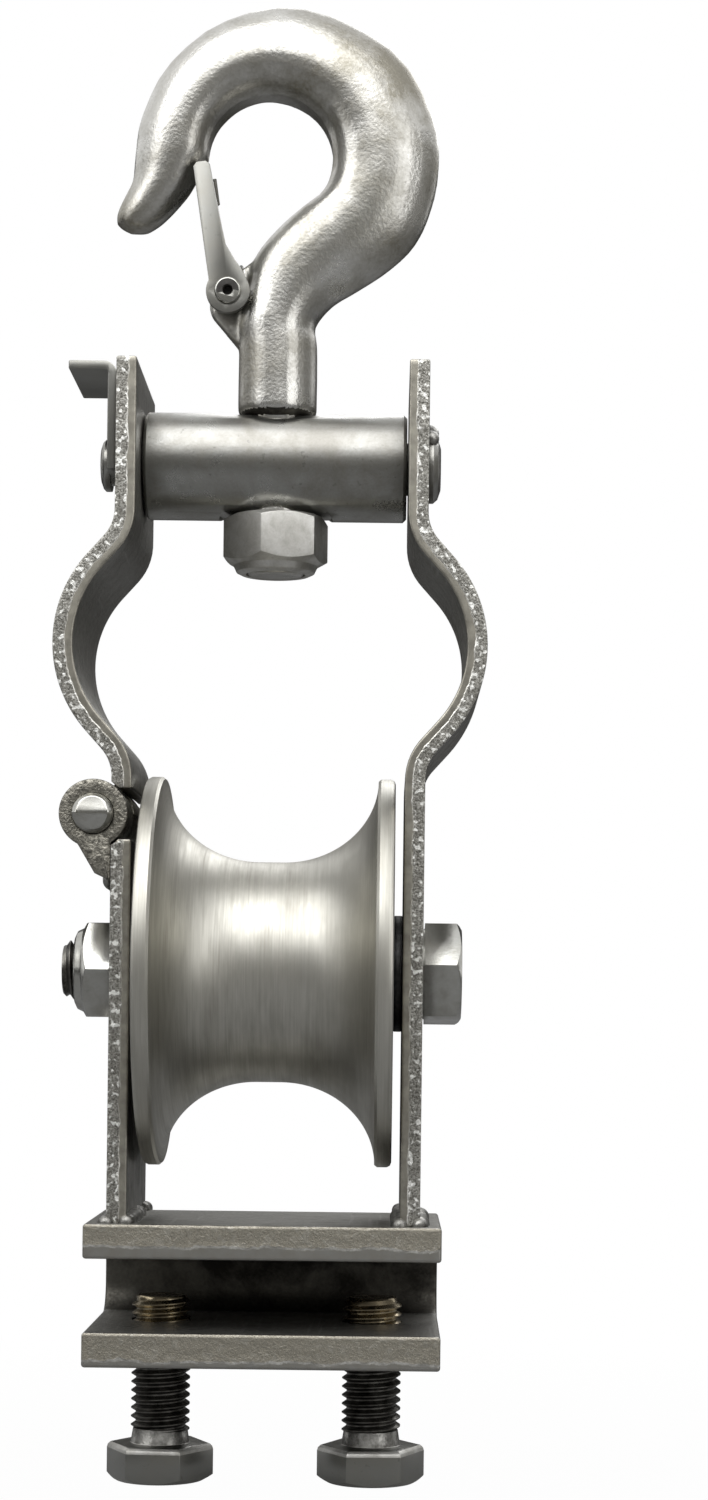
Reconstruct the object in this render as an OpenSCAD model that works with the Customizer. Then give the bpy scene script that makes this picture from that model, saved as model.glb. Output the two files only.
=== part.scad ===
// Hook-hung cable pulley with a hinged side strap, a swivelling hook and a screw clamp.
// Millimetres, +Z up, +X towards the fixed strap, +Y towards the closed back of the clamp.
// The origin is where the load line bears on the inside of the hook.

/* [Hook] */
// Radius of the round inside of the hook
hook_inner_r = 12.4; // [12:0.1:12.8]
// Radius of the round outside of the hook
hook_outer_r = 30.9; // [30.5:0.1:32]
// How far the inner circle's centre lies off the load line, away from the back of the hook
hook_inner_shift = 2; // [1.5:0.1:2.5]
// How far the outer circle's centre lies off the load line, towards the back of the hook
hook_outer_shift = 1.4; // [1:0.1:2]
// Half thickness of the hook at its heavy back
hook_half_thick = 8.5; // [8:0.1:9]
// Diameter of the round shank
shank_d = 16; // [15:0.1:16.4]
// Diameter of the turned neck that passes through the cross bar
neck_d = 12; // [10:0.1:12.4]
// Depth of the hook from its inside to the axis of the cross bar
hook_drop = 74.9; // [74:0.1:85]
// Thickness of the latch lug on the shank
lug_t = 5; // [4:0.1:6]

/* [Latch] */
// Length of the latch from its rivet to its tip
latch_l = 26.5; // [26:0.1:26.8]
// Lean of the closed latch from upright, in degrees
latch_lean = 8.5; // [8:0.1:9]
// Width between the latch's cheeks
latch_in_w = 11; // [10.8:0.1:12]
// Sheet thickness of the latch
latch_sheet = 1.4; // [1:0.1:1.6]
// Width of the latch's cheeks at its tip, seen from the side
latch_tip_w = 3.4; // [3:0.1:3.6]
// Radius of the rounded cheeks round the rivet
cheek_r = 4.4; // [4.2:0.1:4.5]
// Diameter of the latch rivet
latch_rivet_d = 3.6; // [3:0.1:4]
// Wire thickness of the latch spring
spring_wire = 0.8; // [0.6:0.05:0.9]

/* [Cross bar] */
// Diameter of the cross bar
bar_d = 21.5; // [20:0.1:23]
// Diameter of the journals at the ends of the cross bar
journal_d = 10.5; // [10:0.1:11]
// Diameter of the groove that the lock plate drops into
groove_d = 8; // [7:0.1:8.6]
// Diameter of the domed head outside the lock plate
lock_head_d = 10.4; // [9.5:0.1:10.8]
// Diameter of the riveted head outside the fixed strap
rivet_head_d = 13.6; // [12:0.1:15]

/* [Straps] */
// Width of the straps, front to back
strap_w = 42; // [38:0.5:46]
// Thickness of the straps
strap_t = 4; // [3:0.1:5]
// How far the straps reach above the axis of the cross bar
strap_rise = 17.5; // [15:0.1:20]
// How far the straps bow outwards
bow_out = 11.9; // [11:0.1:14]
// Radius of the bow along the middle of the strap
bow_r = 24; // [20:0.1:26]
// Radius of the bends that lead into and out of the bow
bend_r = 10; // [8:0.1:11]
// Slope of the strap above the bow, in degrees
bow_upper_slope = 42; // [38:0.5:45]
// Slope of the strap below the bow, in degrees
bow_lower_slope = 42; // [38:0.5:45]
// Depth of the widest point of the bow below the cross bar
bow_drop = 38.6; // [37:0.1:40]

/* [Sheave] */
// Outer diameter of the grooved wheel
sheave_d = 78.7; // [74:0.1:80]
// Width of the grooved wheel
sheave_w = 50; // [48:0.1:50]
// Width of the mouth of the cable groove
groove_w = 43.2; // [38:0.1:44]
// Depth of the cable groove
groove_depth = 17; // [14:0.1:18]
// Width of the nearly flat floor of the groove
groove_floor = 5; // [4:0.5:10]
// Depth of the wheel's axle below the cross bar
axle_drop = 102.6; // [102:0.1:110]
// Outer diameter of the ball bearings
bearing_od = 32; // [30:0.1:34]
// Width of one ball bearing
bearing_w = 10; // [8:0.1:11]
// Diameter of the axle bolt
axle_d = 12; // [10:0.1:12]
// Width across the flats of the axle bolt's head and nut
axle_flats = 19; // [18:0.1:20]
// Outer diameter of the spacer washers beside the wheel
washer_od = 23.6; // [20:0.1:24]
// Thickness of the spacer washers beside the wheel
washer_t = 1.71; // [1.6:0.01:3]

/* [Gate hinge] */
// Distance of the hinge axis below the end of the strap's bow
hinge_below = 7.3; // [6.8:0.1:8]
// Distance of the hinge axis from the outer face of the strap
hinge_out = 3.5; // [3.4:0.1:4]
// Outer diameter of the hinge eyes
eye_d = 13.5; // [12.6:0.1:13.8]
// Diameter of the hinge pin
pin_d = 8; // [6:0.1:8.4]
// Length of the middle eye on the gate
gate_eye_l = 17; // [12:0.1:20]

/* [Lock plate] */
// Width of the lock plate, front to back
lock_w = 26; // [20:0.5:30]
// Thickness of the lock plate
lock_t = 1.8; // [1.2:0.1:2]
// How far the finger tab reaches out from the lock plate
lock_tab = 9.6; // [6:0.1:11]
// Height of the lock plate above the axis of the cross bar
lock_rise = 18.4; // [18:0.1:21]

/* [Clamp] */
// Width of the clamp
clamp_w = 70; // [66:0.5:76]
// Depth of the clamp, front to back
clamp_depth = 52; // [48:0.5:56]
// How far the clamp reaches in front of the straps
clamp_lead = 3; // [2:0.1:5]
// Plate thickness of the clamp
clamp_t = 6.8; // [6:0.1:7.4]
// Height of the clamp's jaw opening
jaw_h = 14.4; // [12.7:0.1:16]
// Depth of the clamp's top face below the axle
clamp_drop = 49.8; // [49:0.1:56]
// Diameter of the clamp screws
screw_d = 12; // [10:0.1:12]
// Length of the clamp screws under their heads
screw_l = 30; // [30:0.5:34]
// Width across the flats of the clamp screws and the hook nut
screw_flats = 19; // [17:0.1:19.4]
// Spacing of the two clamp screws
screw_spacing = 43; // [40:0.5:46]
// How far the screw tips stand in the jaw
screw_in_jaw = 5; // [2:0.1:6]

/* [Hidden] */

// Running clearance on a radius, and the gap between flat faces that turn past each other
run_fit = 0.05;
face_gap = 0.3;
// Overshoot of a cut past the face it leaves
cut_over = 1;

steel = [0.62, 0.62, 0.60];
bright = [0.75, 0.75, 0.73];
dark = [0.35, 0.35, 0.34];
fine = 64;

bar_z = -hook_drop;
axle_z = bar_z - axle_drop;
clamp_z = axle_z - clamp_drop;
washer_gap = 0.02;
inner_gap = sheave_w + 2 * (washer_t + 2 * washer_gap);
inner_x = inner_gap / 2;
outer_x = inner_x + strap_t;
bend_step = 6;
middle_x = inner_x + strap_t / 2;
upper_run = (bow_out - (bow_r + bend_r) * (1 - cos(bow_upper_slope))) / sin(bow_upper_slope);
lower_run = (bow_out - (bow_r + bend_r) * (1 - cos(bow_lower_slope))) / sin(bow_lower_slope);
bow_z = bar_z - bow_drop;
bend_top_z = bow_z + (bow_r + bend_r) * sin(bow_upper_slope) + upper_run * cos(bow_upper_slope);
bend_low_z = bow_z - (bow_r + bend_r) * sin(bow_lower_slope) - lower_run * cos(bow_lower_slope);
hinge_z = bend_low_z - hinge_below;
hinge_x = -outer_x - hinge_out;

bar_l = inner_gap - 2 * face_gap;
journal_r = journal_d / 2;
gate_hole_r = journal_r + 0.8;

// Lock plate stands one face gap off the gate strap, in the groove of the cross bar.
lock_x = -outer_x - 0.7;
lock_side_gap = 0.25;
groove_out_x = lock_x - lock_t - lock_side_gap;
lock_head_t = 2;
rivet_head_t = 2.4;

// The neck runs through the bar and its nut is seated just under it.
seat_depth = 1;
nut_collar = 3.2;
hook_nut_h = 11.8;
hook_nut_z = bar_z - bar_d / 2 + seat_depth - face_gap;
neck_end_z = hook_nut_z - hook_nut_h - 0.4;
shoulder_z = bar_z + bar_d / 2 - seat_depth + face_gap;

// The latch pivot sits on a lug to the left of the shank.
pivot_x = -10;
pivot_z = -40.7;
lug_r = 3.7;
latch_out_w = latch_in_w + 2 * latch_sheet;
rivet_head_over = 0.7;

head_h = 7.5;
axle_nut_hex = 5.7;
axle_nut_collar = 3.1;
axle_tail = 2.4;

bearing_id = axle_d;
inner_ring_r = bearing_id / 2 + 3.2;
outer_ring_r = bearing_od / 2 - 3;
ball_pitch_r = (inner_ring_r + outer_ring_r) / 2;
ball_r = 2.4;
ball_count = 7;
shield_t = 0.4;
shield_inset = 0.5;

screw_y = -strap_w / 2 - clamp_lead + clamp_depth / 2;
jaw_top_z = clamp_z - clamp_t;
jaw_floor_z = jaw_top_z - jaw_h;
clamp_low_z = jaw_floor_z - clamp_t;
screw_tip_z = jaw_floor_z + screw_in_jaw;

function reversed(list) = [for (i = [len(list) - 1 : -1 : 0]) list[i]];

// Hexagonal prism standing on its base, measured across the flats.
module hex(flats, h, turn = 0) {
    rotate([0, 0, turn]) cylinder(h = h, r = flats / sqrt(3), $fn = 6);
}

// Hexagon with one end rounded off by the usual 30 degree turned cone.
module hex_head(flats, h, turn = 0) {
    corner_r = flats / sqrt(3);
    bevel_h = (corner_r - flats / 2 * 0.95) * tan(30);
    intersection() {
        hex(flats, h, turn);
        rotate_extrude($fn = fine) polygon([[0, 0], [corner_r + 0.1, 0],
            [corner_r + 0.1, h - bevel_h - 0.1 * tan(30)],
            [flats / 2 * 0.95, h], [0, h]]);
    }
}

// Lock nut: a hexagon with a turned collar that holds the nylon ring.
module lock_nut(flats, bore_d, hex_h, collar_h, turn = 0) {
    collar_r = flats / 2 * 0.9;
    ring_r = bore_d / 2 + 1.6;
    difference() {
        union() {
            translate([0, 0, hex_h]) mirror([0, 0, 1]) hex_head(flats, hex_h, turn);
            intersection() {
                hex(flats, hex_h + collar_h, turn);
                rotate_extrude($fn = fine) polygon([[0, hex_h - 0.5], [flats / sqrt(3), hex_h - 0.5],
                    [flats / sqrt(3), hex_h], [collar_r, hex_h + collar_h * 0.45],
                    [collar_r - 0.6, hex_h + collar_h * 0.85],
                    [collar_r - 1.6, hex_h + collar_h], [0, hex_h + collar_h]]);
            }
        }
        translate([0, 0, -cut_over])
            cylinder(h = hex_h + collar_h + 2 * cut_over, r = bore_d / 2 + run_fit, $fn = fine);
        translate([0, 0, hex_h + 0.4]) cylinder(h = 2, r = ring_r, $fn = fine);
    }
}

// Nylon ring inside the collar of a lock nut.
module lock_ring(bore_d, hex_h) {
    difference() {
        translate([0, 0, hex_h + 0.4]) cylinder(h = 2, r = bore_d / 2 + 1.6, $fn = fine);
        translate([0, 0, hex_h]) cylinder(h = 3, r = bore_d / 2 + run_fit, $fn = fine);
    }
}

// Stations of the hook, each [inner x, inner z, outer x, outer z, half thickness, heaviness],
// from the foot of the shank round the bowl to the nose.
function bowl(a, b, half, heavy) = [
    -hook_inner_shift + hook_inner_r * cos(a), -hook_inner_r + hook_inner_r * sin(a),
    hook_outer_shift + hook_outer_r * cos(b), -hook_inner_r + hook_outer_r * sin(b),
    half, heavy];
shank_r = shank_d / 2;
shank_top_z = -50;
foot_bevel = 0.9;
nose_z = -hook_inner_r;
nose_x = -hook_inner_shift - hook_inner_r;
hook_stations = concat(
    [for (z = [shoulder_z + foot_bevel, (shoulder_z + shank_top_z) / 2, shank_top_z])
        [-shank_r, z, shank_r, z, shank_r, 0]],
    [[-shank_r - 0.1, -45.6, shank_r - 0.3, -46, shank_r, 0],
     [-6.9, -38.9, 11.4, -41.4, shank_r + 0.1, 0.04],
     [-5.1, -32.4, 16.7, -38.3, shank_r + 0.3, 0.1],
     [-0.6, -26.7, 23, -34, hook_half_thick, 0.16],
     [4.5, -22.2, 27.8, -29, hook_half_thick, 0.2],
     bowl(-32, -17, hook_half_thick, 0.24), bowl(-10, -1, hook_half_thick, 0.25),
     bowl(23, 18, hook_half_thick, 0.25), bowl(54, 47, hook_half_thick, 0.25),
     bowl(88, 84, hook_half_thick - 0.1, 0.25), bowl(116, 114, hook_half_thick - 0.3, 0.24),
     bowl(142, 141, hook_half_thick - 0.6, 0.22), bowl(163, 163, hook_half_thick - 1, 0.2),
     [nose_x, nose_z + 0.4, nose_x - 15.1, nose_z + 0.6, 7.1, 0.18],
     [nose_x - 2.5, nose_z - 4.2, nose_x - 15.5, nose_z - 4.3, 6.4, 0.15],
     [nose_x - 4.5, nose_z - 7.6, nose_x - 16.7, nose_z - 7.1, 5.8, 0.12],
     [nose_x - 8.9, nose_z - 12.6, nose_x - 18.6, nose_z - 11.2, 4.7, 0.08],
     [nose_x - 12, nose_z - 14.8, nose_x - 18.6, nose_z - 13.6, 3.6, 0.04]]);

// Smooth curve through the stations, and one ring of points round each step of it.
hook_steps = 3;
ring_n = 24;
function station(i) = hook_stations[min(max(i, 0), len(hook_stations) - 1)];
function between(i, t) = let (p = station(i - 1), q = station(i), r = station(i + 1), s = station(i + 2))
    0.5 * (2 * q + (r - p) * t + (2 * p - 5 * q + 4 * r - s) * t * t
        + (3 * q - p - 3 * r + s) * t * t * t);
foot_r = shank_r - foot_bevel;
hook_path = concat(
    [[-foot_r, shoulder_z, foot_r, shoulder_z, foot_r, 0]],
    [for (i = [0 : len(hook_stations) - 2], k = [0 : hook_steps - 1]) between(i, k / hook_steps)],
    [station(len(hook_stations))]);
function ring(s) = [for (k = [0 : ring_n - 1])
    let (a = 360 * k / ring_n, u = (1 - cos(a)) / 2, v = s[4] * sin(a) * (1 + s[5] * cos(a)))
    [s[0] + (s[2] - s[0]) * u, v, s[1] + (s[3] - s[1]) * u]];

module hook_forging() {
    rings = [for (s = hook_path) ring(s)];
    last = len(rings) - 1;
    tip = hook_path[last];
    points = concat([for (r = rings) each r],
        [[(tip[0] + tip[2]) / 2 - 0.5, 0, (tip[1] + tip[3]) / 2 - 1.2]]);
    sides = [for (i = [0 : last - 1], k = [0 : ring_n - 1])
        let (a = i * ring_n + k, b = i * ring_n + (k + 1) % ring_n, c = a + ring_n, d = b + ring_n)
        each [[a, b, d], [a, d, c]]];
    foot = [reversed([for (k = [0 : ring_n - 1]) k])];
    nose = [for (k = [0 : ring_n - 1])
        [last * ring_n + k, last * ring_n + (k + 1) % ring_n, len(points) - 1]];
    polyhedron(points = points, faces = concat(sides, foot, nose), convexity = 6);
}

module hook() {
    color(bright) {
        difference() {
            union() {
                hook_forging();
                latch_lug();
            }
            pivot_bore(latch_rivet_d / 2);
        }
        hook_neck();
    }
}

// Lug that carries the latch rivet, flat-sided and blended into the shank.
module latch_lug() {
    translate([0, lug_t / 2, 0]) rotate([90, 0, 0]) linear_extrude(lug_t) {
        translate([pivot_x, pivot_z]) circle(r = lug_r, $fn = 48);
        polygon([[pivot_x - lug_r * 0.92, pivot_z - lug_r], [pivot_x + 1.8, pivot_z - lug_r - 6.2],
            [-shank_r + 4, pivot_z - lug_r - 6.2], [-shank_r + 5, pivot_z + lug_r + 4.4],
            [pivot_x + 4.4, pivot_z + lug_r + 3.4], [pivot_x, pivot_z + lug_r], [pivot_x - lug_r, pivot_z]]);
    }
}

module pivot_bore(r) {
    translate([pivot_x, 0, pivot_z]) rotate([90, 0, 0])
        cylinder(h = lug_t + 10, r = r + run_fit, center = true, $fn = fine);
}

// Turned neck below the shank, with its chamfered end.
module hook_neck() {
    rotate_extrude($fn = fine) polygon([[0, neck_end_z], [neck_d / 2 - 0.8, neck_end_z],
        [neck_d / 2, neck_end_z + 0.8], [neck_d / 2, shoulder_z + 2], [0, shoulder_z + 2]]);
}

module hook_nut() {
    color(bright) translate([0, 0, hook_nut_z]) rotate([180, 0, 0])
        lock_nut(screw_flats, neck_d, hook_nut_h - nut_collar, nut_collar, 43);
}

module hook_nut_insert() {
    color("white") translate([0, 0, hook_nut_z]) rotate([180, 0, 0])
        lock_ring(neck_d, hook_nut_h - nut_collar);
}

// Side outline of the latch, with the rivet at the origin and the latch upright.
module latch_side() {
    left = -cheek_r + 0.9;
    right = left + latch_tip_w;
    circle(r = cheek_r, $fn = 48);
    polygon([[left, 0], [0, -1], [cheek_r - 0.1, 0.9], [cheek_r - 1.1, 4.1], [cheek_r - 2.1, 5.9],
        [right + 1, 9.3], [right + 0.8, 12], [right + 0.4, latch_l * 0.64], [right, latch_l - 0.8],
        [right - 0.7, latch_l], [left + 0.8, latch_l], [left, latch_l - 0.8]]);
}

// Hollow between the latch's cheeks, open towards the nose of the hook and round the lug.
module latch_hollow() {
    left = -cheek_r + 0.9;
    web = left + latch_tip_w - latch_sheet;
    reach = 2 * cheek_r;
    foot = lug_r + 4.6;
    polygon([[-reach, -reach], [reach, -reach], [reach, foot], [web + 1, foot], [web + 0.8, 12],
        [web + 0.4, latch_l * 0.64], [web, latch_l - 1], [web, latch_l + cut_over],
        [-reach, latch_l + cut_over]]);
}

module latch() {
    color(steel) translate([pivot_x, 0, pivot_z]) rotate([0, -latch_lean, 0]) rotate([90, 0, 0])
        difference() {
            translate([0, 0, -latch_out_w / 2]) linear_extrude(latch_out_w) latch_side();
            translate([0, 0, -latch_in_w / 2]) linear_extrude(latch_in_w) latch_hollow();
            translate([0, 0, -latch_out_w]) cylinder(h = 2 * latch_out_w,
                r = latch_rivet_d / 2 + run_fit, $fn = fine);
        }
}

// Tubular rivet with a rolled head at each end.
module latch_rivet() {
    half = latch_out_w / 2 + 0.1;
    head_r = latch_rivet_d / 2 + 0.9;
    color(bright) translate([pivot_x, 0, pivot_z]) rotate([90, 0, 0]) difference() {
        rotate_extrude($fn = fine) polygon([[0, -half - rivet_head_over], [head_r - 0.3, -half - rivet_head_over],
            [head_r, -half - 0.3], [head_r, -half], [latch_rivet_d / 2, -half], [latch_rivet_d / 2, half],
            [head_r, half], [head_r, half + 0.3], [head_r - 0.3, half + rivet_head_over],
            [0, half + rivet_head_over]]);
        for (side = [-1, 1]) translate([0, 0, side * (half + rivet_head_over)])
            cylinder(h = 4, r = latch_rivet_d / 2 - 0.8, center = true, $fn = fine);
    }
}

// Coils of the torsion spring on both sides of the lug.
module latch_spring() {
    coil_r = latch_rivet_d / 2 + spring_wire / 2 + 0.15;
    first_y = lug_t / 2 + spring_wire / 2 + 0.1;
    color(dark) translate([pivot_x, 0, pivot_z]) for (side = [-1, 1])
        for (turn = [0, 1]) translate([0, side * (first_y + turn * spring_wire), 0])
            rotate([90, 0, 0]) rotate_extrude($fn = 48)
                translate([coil_r, 0]) circle(r = spring_wire / 2 + 0.01, $fn = 16);
}

// Dome-headed turned bar with a cross hole for the neck of the hook.
module cross_bar() {
    half = bar_l / 2;
    neck_out = outer_x + 0.2;
    color(bright) translate([0, 0, bar_z]) difference() {
        rotate([0, 90, 0]) rotate_extrude($fn = 96) polygon(concat(
            [[0, groove_out_x - lock_head_t], [lock_head_d / 2 - 1.6, groove_out_x - lock_head_t],
             [lock_head_d / 2 - 0.5, groove_out_x - lock_head_t + 0.4],
             [lock_head_d / 2, groove_out_x - lock_head_t + 0.9], [lock_head_d / 2, groove_out_x],
             [groove_d / 2, groove_out_x], [groove_d / 2, -neck_out],
             [journal_r, -neck_out], [journal_r, -half], [bar_d / 2 - 0.7, -half],
             [bar_d / 2, -half + 0.7], [bar_d / 2, half - 0.7], [bar_d / 2 - 0.7, half],
             [journal_r, half], [journal_r, neck_out]],
            [[rivet_head_d / 2, neck_out], [rivet_head_d / 2, neck_out + 0.9],
             [rivet_head_d / 2 - 0.8, neck_out + 1.8], [rivet_head_d / 2 - 2.6, neck_out + rivet_head_t],
             [0, neck_out + rivet_head_t]]));
        cylinder(h = bar_d + 2 * cut_over, r = neck_d / 2 + run_fit, center = true, $fn = fine);
        for (side = [-1, 1]) mirror([0, 0, side < 0 ? 1 : 0])
            translate([0, 0, bar_d / 2 - seat_depth]) cylinder(h = 5, r = screw_flats / sqrt(3) + 0.6, $fn = fine);
    }
}

// Strap outline at a distance from its middle line: straight, bent out, bowed, bent back.
function arc(cx, cz, r, from, to) = let (n = ceil(abs(to - from) / bend_step))
    [for (i = [0 : n]) let (a = from + (to - from) * i / n) [cx + r * cos(a), cz + r * sin(a)]];
function strap_side(e, top, low) = concat([[middle_x + e, top]],
    arc(middle_x + bend_r, bend_top_z, bend_r - e, 180, 180 + bow_upper_slope),
    arc(middle_x + bow_out - bow_r, bow_z, bow_r + e, bow_upper_slope, -bow_lower_slope),
    arc(middle_x + bend_r, bend_low_z, bend_r - e, 180 - bow_lower_slope, 180),
    [[middle_x + e, low]]);

module strap(top, low) {
    rotate([90, 0, 0]) linear_extrude(strap_w, center = true)
        polygon(concat(strap_side(strap_t / 2, top, low), reversed(strap_side(-strap_t / 2, top, low))));
}

// Drill through a strap along X.
module strap_hole(z, r, side) {
    translate([side * middle_x, 0, z]) rotate([0, 90, 0])
        cylinder(h = strap_t + 2 * cut_over, r = r, center = true, $fn = fine);
}

module fixed_strap() {
    color(steel) difference() {
        strap(bar_z + strap_rise, clamp_z);
        strap_hole(bar_z, journal_r + run_fit, 1);
        strap_hole(axle_z, axle_d / 2 + run_fit, 1);
    }
}

// Room for the hinge eyes in the ends of the two left-hand straps.
eye_r = eye_d / 2;
module eye_room() {
    translate([hinge_x, 0, hinge_z]) rotate([90, 0, 0])
        cylinder(h = strap_w + 2 * cut_over, r = eye_r + 0.4, center = true, $fn = fine);
}

strap_end_gap = 5;
module gate_strap() {
    color(steel) difference() {
        mirror([1, 0, 0]) strap(bar_z + strap_rise, hinge_z + strap_end_gap);
        strap_hole(bar_z, gate_hole_r, -1);
        eye_room();
    }
}

module lower_strap() {
    low = clamp_z;
    high = hinge_z - strap_end_gap;
    color(steel) difference() {
        translate([-outer_x, -strap_w / 2, low]) cube([strap_t, strap_w, high - low]);
        strap_hole(axle_z, axle_d / 2 + run_fit, -1);
        eye_room();
    }
}

// One hinge eye with its tail up the face of the strap; way is 1 for a tail that runs upwards.
module eye(length, way, tail) {
    mirror([0, 0, way < 0 ? 1 : 0]) rotate([90, 0, 0]) difference() {
        linear_extrude(length, center = true) {
            circle(r = eye_r, $fn = fine);
            polygon([[-1, 0], [hinge_out, 1], [hinge_out, tail], [0.4, tail - 1.4], [-eye_r * 0.5, eye_r * 0.8]]);
        }
        cylinder(h = length + cut_over, r = pin_d / 2 + run_fit, center = true, $fn = fine);
    }
}

module gate_eye() {
    color(bright) translate([hinge_x, 0, hinge_z]) eye(gate_eye_l, 1, eye_r + 0.2);
}

frame_eye_l = (strap_w - gate_eye_l) / 2 - face_gap;
module frame_eyes() {
    color(bright) for (side = [-1, 1])
        translate([hinge_x, side * (strap_w - frame_eye_l) / 2, hinge_z]) eye(frame_eye_l, -1, eye_r * 1.95);
}

// Hinge pin with a cropped front end and a flat head behind.
pin_front = 2.4;
pin_head_t = 2.2;
module hinge_pin() {
    half = strap_w / 2 + 0.1;
    color(bright) translate([hinge_x, 0, hinge_z]) rotate([90, 0, 0])
        rotate_extrude($fn = fine) polygon([[0, -half - pin_head_t], [pin_d / 2 + 1, -half - pin_head_t],
            [pin_d / 2 + 1.6, -half - pin_head_t + 0.6], [pin_d / 2 + 1.6, -half], [pin_d / 2, -half],
            [pin_d / 2, half + pin_front - 0.8], [pin_d / 2 - 0.9, half + pin_front], [0, half + pin_front]]);
}

// Forked lock plate with a bent finger tab.
lock_bend_r = 2.6;
module lock_plate() {
    top = bar_z + lock_rise;
    low = bar_z - 3.2;
    color(bright) difference() {
        rotate([90, 0, 0]) linear_extrude(lock_w, center = true) {
            translate([lock_x - lock_t, low]) square([lock_t, top - lock_bend_r - low]);
            translate([lock_x - lock_tab, top - lock_t]) square([lock_tab - lock_bend_r, lock_t]);
            intersection() {
                difference() {
                    translate([lock_x - lock_bend_r, top - lock_bend_r]) circle(r = lock_bend_r, $fn = 48);
                    translate([lock_x - lock_bend_r, top - lock_bend_r])
                        circle(r = lock_bend_r - lock_t, $fn = 48);
                }
                translate([lock_x - lock_bend_r, top - lock_bend_r]) square(lock_bend_r);
            }
        }
        translate([lock_x - lock_t / 2, 0, bar_z]) rotate([0, 90, 0])
            cylinder(h = lock_t + 2 * cut_over, r = groove_d / 2 + 0.15, center = true, $fn = fine);
        translate([lock_x - lock_t - cut_over, -groove_d / 2 - 0.15, low - cut_over])
            cube([lock_t + 2 * cut_over, groove_d + 0.3, bar_z - low + cut_over]);
    }
}

// Inner radius of the clamp's bends, and the rounding of its sheared front edges.
clamp_in_r = 5.5;
clamp_end_r = 0.6;
// U-bent clamp plate, open to the front, with two tapped holes in its lower leg.
module clamp_profile() {
    front = -strap_w / 2 - clamp_lead;
    back = front + clamp_depth;
    difference() {
        round_back(front, back, clamp_low_z, clamp_z, clamp_in_r + clamp_t, clamp_end_r);
        round_back(front - 10, back - clamp_t, jaw_floor_z, jaw_top_z, clamp_in_r, clamp_in_r / 2);
    }
}

// Rectangle with large corners at its back and small ones at its front.
module round_back(front, back, low, top, back_r, front_r) {
    translate([front + front_r, low]) square([back - back_r - front - front_r, top - low]);
    translate([front, low + front_r]) square([front_r, top - low - 2 * front_r]);
    translate([back - back_r, low + back_r]) square([back_r, top - low - 2 * back_r]);
    for (z = [low + front_r, top - front_r]) translate([front + front_r, z]) circle(r = front_r, $fn = 48);
    for (z = [low + back_r, top - back_r]) translate([back - back_r, z]) circle(r = back_r, $fn = 96);
}

module clamp_body() {
    color(steel) difference() {
        rotate([90, 0, 90]) linear_extrude(clamp_w, center = true) clamp_profile();
        for (side = [-1, 1]) translate([side * screw_spacing / 2, screw_y, clamp_low_z - cut_over])
            cylinder(h = clamp_t + 2 * cut_over, r = screw_d / 2 + run_fit, $fn = fine);
    }
}

// Fillet welds that hold the two straps on the clamp.
weld_leg = 2;
module strap_welds() {
    length = strap_w * 0.55;
    color(bright) for (side = [-1, 1], face = [inner_x, outer_x]) {
        way = face == inner_x ? -1 : 1;
        translate([0, -strap_w / 2 + 1 + length, clamp_z]) rotate([90, 0, 0]) linear_extrude(length)
            polygon([[side * face, 0], [side * (face + way * weld_leg), 0], [side * face, weld_leg]]);
    }
}

module clamp_screw(side, turn) {
    color(steel) translate([side * screw_spacing / 2, screw_y, screw_tip_z]) {
        rotate_extrude($fn = fine) polygon([[0, 0], [screw_d / 2 - 1, 0], [screw_d / 2, -1],
            [screw_d / 2, -screw_l], [0, -screw_l]]);
        translate([0, 0, -screw_l]) rotate([180, 0, 0]) hex_head(screw_flats, head_h, turn);
    }
}

module clamp_screw_left() {
    clamp_screw(-1, 4);
}

module clamp_screw_right() {
    clamp_screw(1, 56);
}

// Turned wheel with a round cable groove, bored from both ends for the bearings.
rim_r = sheave_d / 2;
root_r = rim_r - groove_depth;
edge_step = 7.5;
flank_w = (groove_w - groove_floor) / 2;
module sheave_wheel() {
    half = sheave_w / 2;
    seat_r = bearing_od / 2 + 0.02;
    groove = concat(
        [for (a = [0 : edge_step : 90]) [root_r + groove_depth * (1 - sin(a)),
            groove_floor / 2 + flank_w * cos(a)]],
        [for (a = [90 : edge_step : 180]) [root_r + groove_depth * (1 - sin(a)),
            -groove_floor / 2 + flank_w * cos(a)]]);
    color(steel) translate([0, 0, axle_z]) rotate([0, 90, 0]) rotate_extrude($fn = 120)
        polygon(concat(
            [[seat_r, half], [rim_r - 0.6, half], [rim_r, half - 0.6]],
            groove,
            [[rim_r, -half + 0.6], [rim_r - 0.6, -half], [seat_r, -half],
             [seat_r, -half + bearing_w], [outer_ring_r, -half + bearing_w],
             [outer_ring_r, half - bearing_w], [seat_r, half - bearing_w]]));
}

// Both ends of the wheel, one bearing in each.
module at_bearings() {
    for (side = [-1, 1]) translate([side * (sheave_w - bearing_w) / 2, 0, axle_z])
        rotate([0, 90, 0]) children();
}

race_r = ball_r + 0.08;
module bearing_outer_rings() {
    color(bright) at_bearings() rotate_extrude($fn = fine) difference() {
        translate([outer_ring_r, -bearing_w / 2]) square([bearing_od / 2 - outer_ring_r, bearing_w]);
        translate([ball_pitch_r, 0]) circle(r = race_r, $fn = 48);
    }
}

module bearing_inner_rings() {
    color(bright) at_bearings() rotate_extrude($fn = fine) difference() {
        translate([bearing_id / 2 + run_fit, -bearing_w / 2])
            square([inner_ring_r - bearing_id / 2 - run_fit, bearing_w]);
        translate([ball_pitch_r, 0]) circle(r = race_r, $fn = 48);
    }
}

module bearing_balls() {
    color("silver") at_bearings() for (i = [0 : ball_count - 1])
        rotate([0, 0, i * 360 / ball_count]) translate([ball_pitch_r, 0, 0]) sphere(r = ball_r, $fn = 48);
}

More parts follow.
